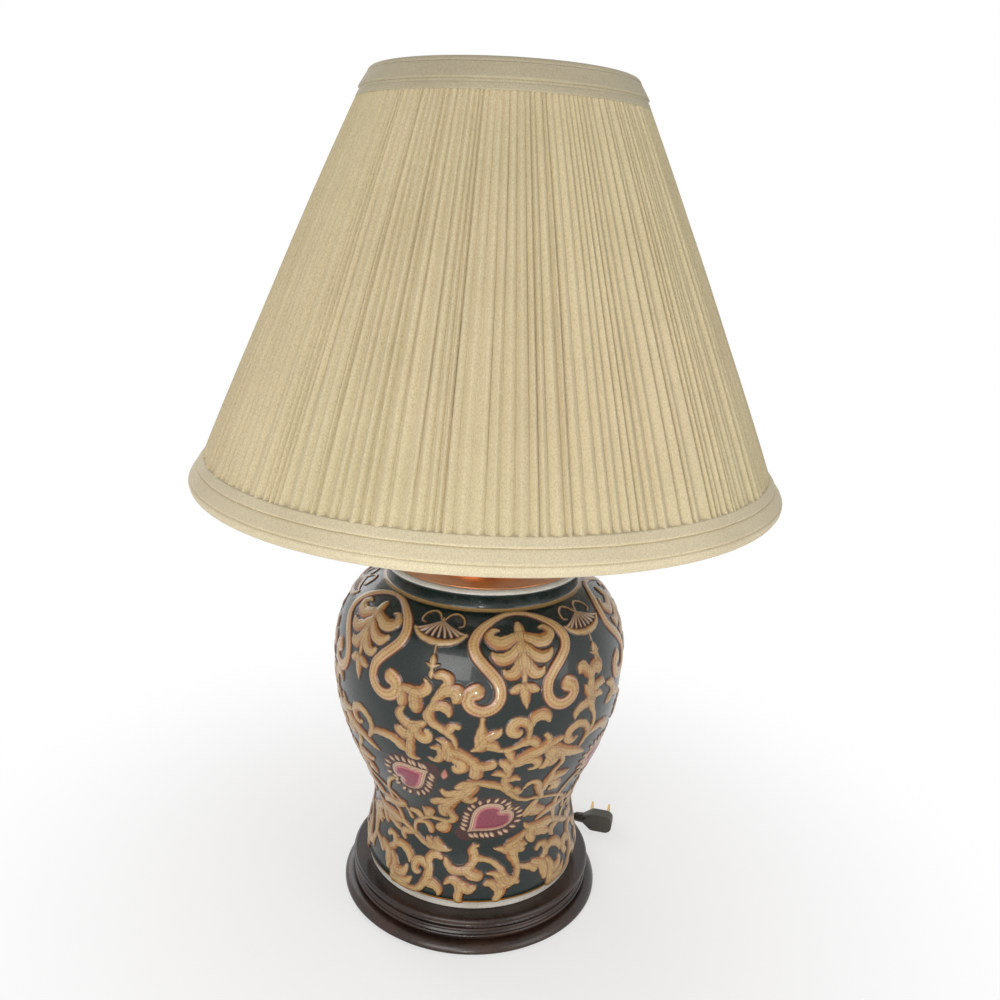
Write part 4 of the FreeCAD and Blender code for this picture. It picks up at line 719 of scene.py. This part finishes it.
def lay_body(field):
    for points in BODY + BORDER:
        field.stroke(points, flesh=LEAF_FLESH)
    for points in BUDS:
        field.stroke(points, BUD)
    hearts = np.full(field.depth.shape, -99.0)
    for heart in HEARTS:
        outline, back = heart_outline(field, heart)
        for shift in (-field.span, 0, field.span):
            px = np.radians(field.turn - heart[0][0] - shift)[None, :] * field.r[:, None]
            py = np.repeat(field.arc[:, None], len(field.turn), axis=1)
            hearts = np.maximum(hearts, outline_depth(outline, px, py))
        heart_petals(field, heart, outline, back)
    return hearts


def step(low, high, x):
    t = np.clip((x - low) / (high - low), 0, 1)
    return t * t * (3 - 2 * t)


def blend_to(colour, target, share):
    return colour + (linear(target) - colour) * share[..., None]


def relief_height(field, hearts):
    """Height of the raised glaze in mm."""
    t = np.clip(field.depth / field.width, 0, 1)
    top = np.minimum(RELIEF_MOST, 0.45 + 0.3 * field.width)
    height = top * np.sqrt(1 - (1 - t) ** 2)
    veins = sum(np.exp(-((field.across - c) / 0.09) ** 2) for c in VEINS)
    height -= 0.16 * veins * (field.width > 1.5) * (field.depth > 0) * (field.kind == LEAF)
    height -= 0.08 * step(0.4, 0.7, field.depth) * (1 - step(0.1, 0.35, field.line))
    swell = 0.55 * step(-0.1, 0.9, hearts) + 0.75 * step(0.8, 6.0, hearts)
    return np.maximum(height, swell)


def relief_colour(field, hearts, z):
    """Linear colours of the glaze and its painting, with painted light on each stroke's crown and painted
    shade at its edges and round its foot.
    """
    colour = np.tile(linear(DARK_GLAZE), field.depth.shape + (1,))
    colour = blend_to(colour, MAROON, 0.85 * step(*HALO, hearts))
    t = np.clip(field.depth / field.width, 0, 1)
    # Burnt at each stroke's edge and paler on its crown: partly the enamel's own shading, and partly
    # painted shade on the relief's slopes and painted light on its top.
    paint = np.tile(linear(OCHRE_BURNT_AND_SHADED), field.depth.shape + (1,))
    paint = blend_to(paint, OCHRE, step(0.05, 0.5, t))
    paint = blend_to(paint, OCHRE_PALE_AND_LIT, 0.55 * step(0.6, 1.0, t))
    side = np.abs(field.across)
    hatch = np.sin(math.tau * (field.along / 1.7 - 0.5 * side)) * step(0.1, 0.3, side)
    hatch = hatch * (1 - step(0.7, 0.95, side))
    paint = blend_to(paint, OCHRE_BURNT_AND_SHADED, 0.8 * step(0.3, 0.8, hatch) * (field.kind == FRAME))
    leaf = (field.kind == LEAF) & (field.width > 1.0)
    paint = blend_to(paint, OCHRE_BURNT_AND_SHADED, 0.6 * step(-0.1, 0.9, field.across) * leaf)
    paint = blend_to(paint, OCHRE_PALE_AND_LIT, 0.5 * step(0.1, 0.8, -field.across) * leaf)
    veins = sum(np.exp(-((field.across - c) / 0.08) ** 2) for c in VEINS)
    paint = blend_to(paint, BROWN_LINE, 0.34 * np.clip(veins, 0, 1) * leaf * (field.width > 1.5))
    frame = (field.kind == FRAME) * (step(0.45, 0.6, side) * (1 - step(0.66, 0.8, side)))
    paint = blend_to(paint, HEART_CREAM, 0.7 * frame)
    rib = np.clip((field.kind == RIB) * 1.0, 0, 1)
    paint = blend_to(paint, HEART_CREAM, 0.85 * rib)
    paint = blend_to(paint, HEART_ROSE, 0.9 * (field.kind == BUD) * step(0.2, 0.7, t))
    inner = step(0.45, 0.7, field.depth) * (1 - step(0.1, 0.34, field.line))
    paint = blend_to(paint, BROWN_LINE, 0.38 * inner)
    colour = colour + (paint - colour) * step(-0.1, 0.25, field.depth)[..., None]
    # A dark line round each relief's edge: its painted outline, and painted shadow at the relief's foot.
    outline = np.exp(-((field.depth - 0.05) / 0.55) ** 2)
    colour = blend_to(colour, BROWN_LINE, 0.92 * outline)
    inside = step(-0.15, 0.15, hearts)
    heart = np.tile(linear(HEART_CREAM), field.depth.shape + (1,))
    heart = blend_to(heart, HEART_ROSE, step(2.2, 3.0, hearts))
    heart = blend_to(heart, HEART_CORE, step(3.2, 4.4, hearts))
    for ring in HEART_LINES:
        heart = blend_to(heart, MAROON, 0.8 * np.exp(-((hearts - ring) / 0.26) ** 2))
    colour = colour + (heart - colour) * inside[..., None]
    colour = blend_to(colour, BROWN_LINE, 0.85 * np.exp(-(hearts / 0.35) ** 2))
    return banded(colour, z[:, None] + 0 * field.depth)


def banded(colour, z):
    """The lines round the neck and foot, the white rim and the white foot ring."""
    low, high = NECK_LINE
    neck = step(low - 0.2, low + 0.1, z) * (1 - step(high - 0.1, high + 0.2, z))
    foot = step(FOOT_WHITE - 0.2, FOOT_WHITE, z) * (1 - step(FOOT_LINE, FOOT_LINE + 0.3, z))
    colour = blend_to(colour, OCHRE, 0.8 * neck)
    colour = blend_to(colour, GOLD_LINE, foot)
    colour = blend_to(colour, WHITE_GLAZE, 1 - step(FOOT_WHITE - 0.3, FOOT_WHITE, z))
    return blend_to(colour, WHITE_GLAZE, step(RIM_WHITE - 0.3, RIM_WHITE + 0.2, z))


def wall_rows():
    """The jar's outline in three runs: its fine outer wall, the way over the rim and inside, the foot."""
    loop = profile("ceramic_jar")
    low = np.nonzero(loop[:, 1] < FINE_LOW)[0]
    start = low[np.argmax(loop[low, 0])]
    loop = np.roll(loop, -start, axis=0)
    top = int(np.argmax(loop[:, 1]))
    outer = refine(loop[:top + 1], lambda r, z: ROW_STEP)
    outer = outer[:int(np.argmax(outer[:, 1])) + 1]
    inner = refine(loop[top:], lambda r, z: 2.5)
    inner = inner[:int(np.argmin(np.hypot(*(inner - loop[-1]).T))) + 1]
    fine = (outer[:, 1] > FINE_LOW) & (outer[:, 1] < FINE_HIGH)
    rim = outer[outer[:, 1] >= FINE_HIGH]
    foot = outer[outer[:, 1] <= FINE_LOW]
    return outer[fine], np.vstack([rim[:-1], inner, foot])


def make_jar():
    wall, others = wall_rows()
    for _ in range(WALL_SMOOTHING):
        wall[1:-1] = (wall[:-2] + 2 * wall[1:-1] + wall[2:]) / 4
    arc = np.concatenate([[0], np.cumsum(np.hypot(*np.diff(wall, axis=0).T))])
    r, z = wall.T
    columns = COLUMNS
    body = Field(-45, 90, columns // BODY_REPEATS, z, r, arc)
    hearts = lay_body(body)
    field = Field(-45, 360, columns, z, r, arc)
    for name in ("depth", "line", "width", "along", "across", "kind"):
        setattr(field, name, np.tile(getattr(body, name), (1, BODY_REPEATS)))
    hearts = np.tile(hearts, (1, BODY_REPEATS))
    lay_shoulder(field)
    turn = np.radians(field.turn)
    normal = np.stack([np.gradient(z), -np.gradient(r)], -1)
    normal /= np.linalg.norm(normal, axis=1)[:, None]
    height = relief_height(field, hearts)
    height *= (step(*RELIEF_START, z) * (1 - step(*RELIEF_END, z)))[:, None]
    raised = wall[:, None, :] + normal[:, None, :] * height[..., None]
    plain = np.repeat(others[:, None, :], columns, axis=1)
    grid = revolve(np.concatenate([raised, plain]), turn[None, :])
    jar = grid_mesh("jar", grid, True)
    colour = relief_colour(field, hearts, z)
    rest = np.tile(linear(WHITE_GLAZE), (len(others), columns, 1))
    full = np.concatenate([colour, rest]).reshape(-1, 3)
    paint = jar.data.color_attributes.new("paint", "FLOAT_COLOR", "POINT")
    paint.data.foreach_set("color", np.hstack([full, np.ones((len(full), 1))]).astype(np.float32).ravel())
    jar.data.materials.append(glaze_material())
    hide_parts("ceramic_jar")
    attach(jar, "root")
    return jar


# ---- the shade's cloth ----

PLEATS = 178
COLUMNS_PER_PLEAT = 12
PLEAT_ROWS = 48
PUCKERS = (9, 17, 31, 47)    # waves round a band
PLEAT_GAP = 0.3              # mm from the back of the CAD pleats to the deepest fold
PLEAT_LIFT = 1.0
PLEAT_COLOURS = ((0.600, 0.522, 0.325), (0.640, 0.558, 0.355))
# Paler than the pleats: painted light on the lower edge of the shade.
BOTTOM_BAND_LIT_COLOURS = ((0.64, 0.56, 0.38), (0.69, 0.61, 0.42))
# Darker than the pleats: painted shade at the top of the shade.
TOP_BAND_SHADED_COLOURS = ((0.44, 0.39, 0.265), (0.49, 0.435, 0.30))


def cloth_radii(node):
    """Heights up the CAD pleats with the radius of their back and of their crests, in mm."""
    source = bpy.data.objects[node]
    co = np.array([source.matrix_world @ v.co for v in source.data.vertices]) / MM
    z, r = np.round(co[:, 2], 1), np.hypot(co[:, 0], co[:, 1])
    levels, counts = np.unique(z, return_counts=True)
    levels = levels[counts > 150]
    back = np.array([r[z == level].min() for level in levels])
    crest = np.array([r[z == level].max() for level in levels])
    return levels, back, crest


def make_pleats():
    """The gathered outer cloth: narrow uneven pleats from band to band."""
    rng = np.random.default_rng(SEED)
    heights, back, crest = cloth_radii("shade_pleats")
    widths = rng.uniform(0.6, 1.4, PLEATS)
    edges = np.concatenate([[0], np.cumsum(widths)]) / widths.sum()
    part = np.arange(COLUMNS_PER_PLEAT) / COLUMNS_PER_PLEAT
    turn = math.tau * (edges[:-1, None] + np.diff(edges)[:, None] * part[None, :]).ravel()
    each = np.arange(PLEATS)
    group = 0.5 + 0.5 * np.sin(each * 0.9 + 2.1 * np.sin(each * 0.23))
    lift = np.repeat(0.68 + 0.12 * group + rng.uniform(-0.10, 0.20, PLEATS), COLUMNS_PER_PLEAT)
    lean = np.repeat(rng.uniform(0.25, 0.75, PLEATS), COLUMNS_PER_PLEAT)
    phase = np.repeat(rng.uniform(0, math.tau, PLEATS), COLUMNS_PER_PLEAT)
    u = np.tile(part, PLEATS)
    rise = np.where(u < lean, u / lean, (1 - u) / (1 - lean))
    ridge = 0.5 * np.sin(rise * math.pi / 2) ** 0.7 + 0.5 * rise
    z = np.linspace(heights[0], heights[-1], PLEAT_ROWS)[:, None]
    low = np.polyval(np.polyfit(heights, back, 2), z) + PLEAT_GAP
    high = np.polyval(np.polyfit(heights, crest, 2), z) + PLEAT_LIFT
    share = (z - heights[0]) / (heights[-1] - heights[0])
    wander = 0.0022 * np.sin(3.1 * share + phase) * np.sin(math.pi * share)
    soft = lift * (0.95 + 0.05 * np.sin(8 * share + 1.7 * phase))
    r = low + (high - low) * ridge[None, :] * soft
    grid = revolve(np.stack([r, z + 0 * r], -1), turn[None, :] + wander)
    cloth = grid_mesh("pleats", grid, False)
    cloth.data.materials.append(cloth_material("pleated_cloth", *PLEAT_COLOURS, 0.2))
    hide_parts("shade_pleats")
    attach(cloth, "shade")
    return cloth


def make_trim(name, node, seams, colours):
    """A folded band of cloth with stitched seams, on the frame's own outline."""
    rng = np.random.default_rng(SEED + len(name))
    rows = refine(profile(node), lambda r, z: 0.5)
    turn = np.linspace(0, math.tau, 720, endpoint=False)
    r, z = rows.T
    ahead = np.roll(rows, -1, axis=0) - np.roll(rows, 1, axis=0)
    normal = np.stack([ahead[:, 1], -ahead[:, 0]], -1)
    normal /= np.linalg.norm(normal, axis=1)[:, None] + 1e-9
    outside = step(0.15, 0.7, normal[:, 0])
    depth = 0.4 * step(-0.5, 0.0, normal[:, 0])
    for seam in seams:
        depth -= 0.4 * np.exp(-((z - seam) / 0.45) ** 2) * outside
    waves = sum(rng.uniform(0.3, 1) * np.sin(k * turn + rng.uniform(0, math.tau)) for k in PUCKERS)
    pucker = 0.05 * waves[None, :] * (outside * np.sin(math.pi * (z - z.min()) / np.ptp(z)))[:, None]
    shape = rows[:, None, :] + normal[:, None, :] * (depth[:, None] + pucker)[..., None]
    band = grid_mesh(name, revolve(shape, turn[None, :]), True)
    band.data.materials.append(cloth_material(name + "_cloth", *colours, 0.1))
    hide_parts(node)
    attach(band, "shade")
    return band


def make_shade():
    cloth = make_pleats()
    low_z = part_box("shade_bottom_trim")[0][2] / MM
    top_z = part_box("shade_top_trim")[1][2] / MM
    # The bottom band's paler colours are painted light.
    bottom = make_trim("bottom_trim", "shade_bottom_trim", (low_z + 3.0, low_z + 13.6), BOTTOM_BAND_LIT_COLOURS)
    # The top band's darker colours are painted shade.
    top = make_trim("top_trim", "shade_top_trim", (top_z - 12.3,), TOP_BAND_SHADED_COLOURS)



# ---- materials ----

def new_material(name):
    material = bpy.data.materials.new(name)
    material.use_nodes = True
    tree = material.node_tree
    return material, tree, tree.nodes["Principled BSDF"]


def texture(tree, scale, detail=3.0, stretch=(1, 1, 1)):
    """Noise over the object's own space."""
    place = tree.nodes.new("ShaderNodeTexCoord")
    mapping = settle(tree.nodes.new("ShaderNodeMapping"), Scale=stretch)
    noise = settle(tree.nodes.new("ShaderNodeTexNoise"), Scale=scale, Detail=detail)
    tree.links.new(place.outputs["Object"], mapping.inputs["Vector"])
    tree.links.new(mapping.outputs["Vector"], noise.inputs["Vector"])
    return noise


def ramp(tree, source, low, high, start=0.35, end=0.65):
    node = tree.nodes.new("ShaderNodeValToRGB")
    node.color_ramp.elements[0].position = start
    node.color_ramp.elements[0].color = (*low, 1)
    node.color_ramp.elements[1].position = end
    node.color_ramp.elements[1].color = (*high, 1)
    tree.links.new(source, node.inputs["Fac"])
    return node.outputs["Color"]


def bump(tree, shader, source, strength, distance=0.0005):
    node = settle(tree.nodes.new("ShaderNodeBump"), Strength=strength, Distance=distance)
    tree.links.new(source, node.inputs["Height"])
    tree.links.new(node.outputs["Normal"], shader.inputs["Normal"])


def mottled(name, low, high, scale, roughness, metallic=0.0, relief=0.0, coat=0.0, stretch=(1, 1, 1)):
    """A plain stuff whose colour and polish wander a little."""
    material, tree, shader = new_material(name)
    noise = texture(tree, scale, 4.0, stretch)
    tree.links.new(ramp(tree, noise.outputs["Fac"], low, high), shader.inputs["Base Color"])
    dull = [min(1, roughness + 0.1)] * 3
    tree.links.new(ramp(tree, noise.outputs["Fac"], [roughness] * 3, dull), shader.inputs["Roughness"])
    settle(shader, Metallic=metallic, Coat_Weight=coat, Coat_Roughness=0.15)
    if relief:
        bump(tree, shader, noise.outputs["Fac"], relief)
    return material


def multiply(tree, a, b, share=1.0):
    node = tree.nodes.new("ShaderNodeMix")
    node.data_type = "RGBA"
    node.blend_type = "MULTIPLY"
    node.inputs["Factor"].default_value = share
    tree.links.new(a, node.inputs[6])
    tree.links.new(b, node.inputs[7])
    return node.outputs[2]


def glaze_material():
    """Painted raised glaze under a clear gloss."""
    material, tree, shader = new_material("jar_glaze")
    paint = tree.nodes.new("ShaderNodeAttribute")
    paint.attribute_name = "paint"
    speckle = texture(tree, 900, 3.0)
    cloud = texture(tree, 60, 4.0)
    fine = ramp(tree, speckle.outputs["Fac"], (0.89, 0.86, 0.83), (1, 1, 1), 0.32, 0.62)
    broad = ramp(tree, cloud.outputs["Fac"], (0.86, 0.82, 0.78), (1, 1, 1), 0.35, 0.65)
    colour = multiply(tree, multiply(tree, paint.outputs["Color"], fine), broad)
    tree.links.new(colour, shader.inputs["Base Color"])
    rough = ramp(tree, speckle.outputs["Fac"], (0.26,) * 3, (0.38,) * 3)
    tree.links.new(rough, shader.inputs["Roughness"])
    settle(shader, Specular_IOR_Level=0.3, Coat_Weight=0.4, Coat_Roughness=0.05)
    bump(tree, shader, speckle.outputs["Fac"], 0.25, 0.0002)
    return material


def cloth_material(name, low, high, blush):
    """Linen-like cloth: a fine weave, soft patches and a faint blush."""
    material, tree, shader = new_material(name)
    patches = texture(tree, 22, 3.0)
    flush = (1.0, 1 - 0.16 * blush, 1 - 0.1 * blush)
    warm = ramp(tree, texture(tree, 9, 2.0).outputs["Fac"], (1, 1, 1), flush)
    weave = texture(tree, 1600, 2.0, (1, 1, 0.5))
    grain = ramp(tree, weave.outputs["Fac"], (0.80, 0.79, 0.77), (1, 1, 1), 0.3, 0.6)
    base = ramp(tree, patches.outputs["Fac"], low, high)
    tree.links.new(multiply(tree, multiply(tree, base, grain), warm), shader.inputs["Base Color"])
    settle(shader, Roughness=0.85, Sheen_Weight=0.15)
    bump(tree, shader, weave.outputs["Fac"], 0.5, 0.0002)
    return material


def wood_material():
    """Dark stained wood, turned: grain down the post and a worn sheen."""
    material, tree, shader = new_material("dark_wood")
    grain = texture(tree, 30, 6.0, (1, 1, 7))
    pores = texture(tree, 400, 3.0, (1, 1, 0.15))
    base = ramp(tree, grain.outputs["Fac"], (0.010, 0.006, 0.005), (0.045, 0.021, 0.013), 0.3, 0.7)
    dots = ramp(tree, pores.outputs["Fac"], (0.55, 0.5, 0.5), (1, 1, 1), 0.35, 0.5)
    tree.links.new(multiply(tree, base, dots), shader.inputs["Base Color"])
    rough = ramp(tree, grain.outputs["Fac"], (0.24,) * 3, (0.38,) * 3)
    tree.links.new(rough, shader.inputs["Roughness"])
    settle(shader, Specular_IOR_Level=0.35, Coat_Weight=0.15, Coat_Roughness=0.2)
    bump(tree, shader, pores.outputs["Fac"], 0.15, 0.0002)
    return material


STEEL = ((0.50, 0.50, 0.51), (0.62, 0.62, 0.63), 60, 0.28, 1.0)
BRASS = ((0.62, 0.42, 0.17), (0.74, 0.53, 0.24), 50, 0.22, 1.0)
COPPER = ((0.52, 0.22, 0.10), (0.72, 0.36, 0.18), 45, 0.30, 1.0)
CORD_JACKET = ((0.014, 0.012, 0.010), (0.028, 0.024, 0.02), 200, 0.45)
PLUG = ((0.040, 0.034, 0.024), (0.062, 0.054, 0.040), 90, 0.40, 0.0)
CARD = ((0.35, 0.27, 0.17), (0.45, 0.36, 0.24), 150, 0.8, 0.0)
GLASS = ((0.86, 0.86, 0.83), (0.93, 0.93, 0.90), 30, 0.35, 0.0)
FELT = ((0.02, 0.035, 0.02), (0.035, 0.06, 0.035), 900, 0.95)
DARK_PLASTIC = ((0.020, 0.018, 0.014), (0.034, 0.030, 0.024), 120, 0.42, 0.0)
WIRE = ((0.60, 0.60, 0.58), (0.72, 0.72, 0.70), 80, 0.35, 1.0)
LINING = ((0.72, 0.70, 0.64), (0.80, 0.78, 0.72), 300, 0.7, 0.0)
FINISHES = (
    (STEEL, "base_washer base_nut threaded_rod terminal_screw_right"),
    (BRASS, "saddle_locknut neck_spacer harp_saddle harp harp_ferrule_left harp_ferrule_right harp_stud"
            " finial socket_cap socket_shell centre_contact knob_shaft terminal_screw_left bulb_contact"
            " plug_blades"),
    (COPPER, "vase_cap"),
    (WIRE, "screw_shell bulb_cap shade_spider shade_bottom_ring"),
    (DARK_PLASTIC, "socket_insulator switch_knob strain_relief inner_cord"),
    (CARD, "socket_liner"),
    (GLASS, "bulb_glass"),
    (LINING, "shade_lining"),
    (PLUG, "plug_body"),
)


def dress(node, material):
    mesh = bpy.data.objects[node].data
    mesh.materials.clear()
    mesh.materials.append(material)


def dress_carried_nodes():
    """Every CAD piece that shows gets its own stuff."""
    for number, (finish, nodes) in enumerate(FINISHES):
        stuff = mottled(f"stuff_{number}", *finish, relief=0.05)
        for node in nodes.split():
            dress(node, stuff)
    dress("wood_base", wood_material())


def make_felt():
    """The felt pad: a disc of fuzzy cloth on the base's own outline."""
    rows = refine(profile("felt_pad"), lambda r, z: 2.0)
    turn = np.linspace(0, math.tau, 240, endpoint=False)
    felt = grid_mesh("felt", revolve(np.repeat(rows[:, None, :], 240, axis=1), turn[None, :]), True)
    felt.data.materials.append(mottled("felt", *FELT, relief=0.6))
    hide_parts("felt_pad")
    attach(felt, "root")


def main():
    make_camera()
    make_lights()
    make_floor()
    cord = make_cord()
    cord.data.materials.append(mottled("cord_jacket", *CORD_JACKET))
    dress_carried_nodes()
    make_jar()
    make_shade()
    make_felt()
    bpy.context.view_layer.update()


main()
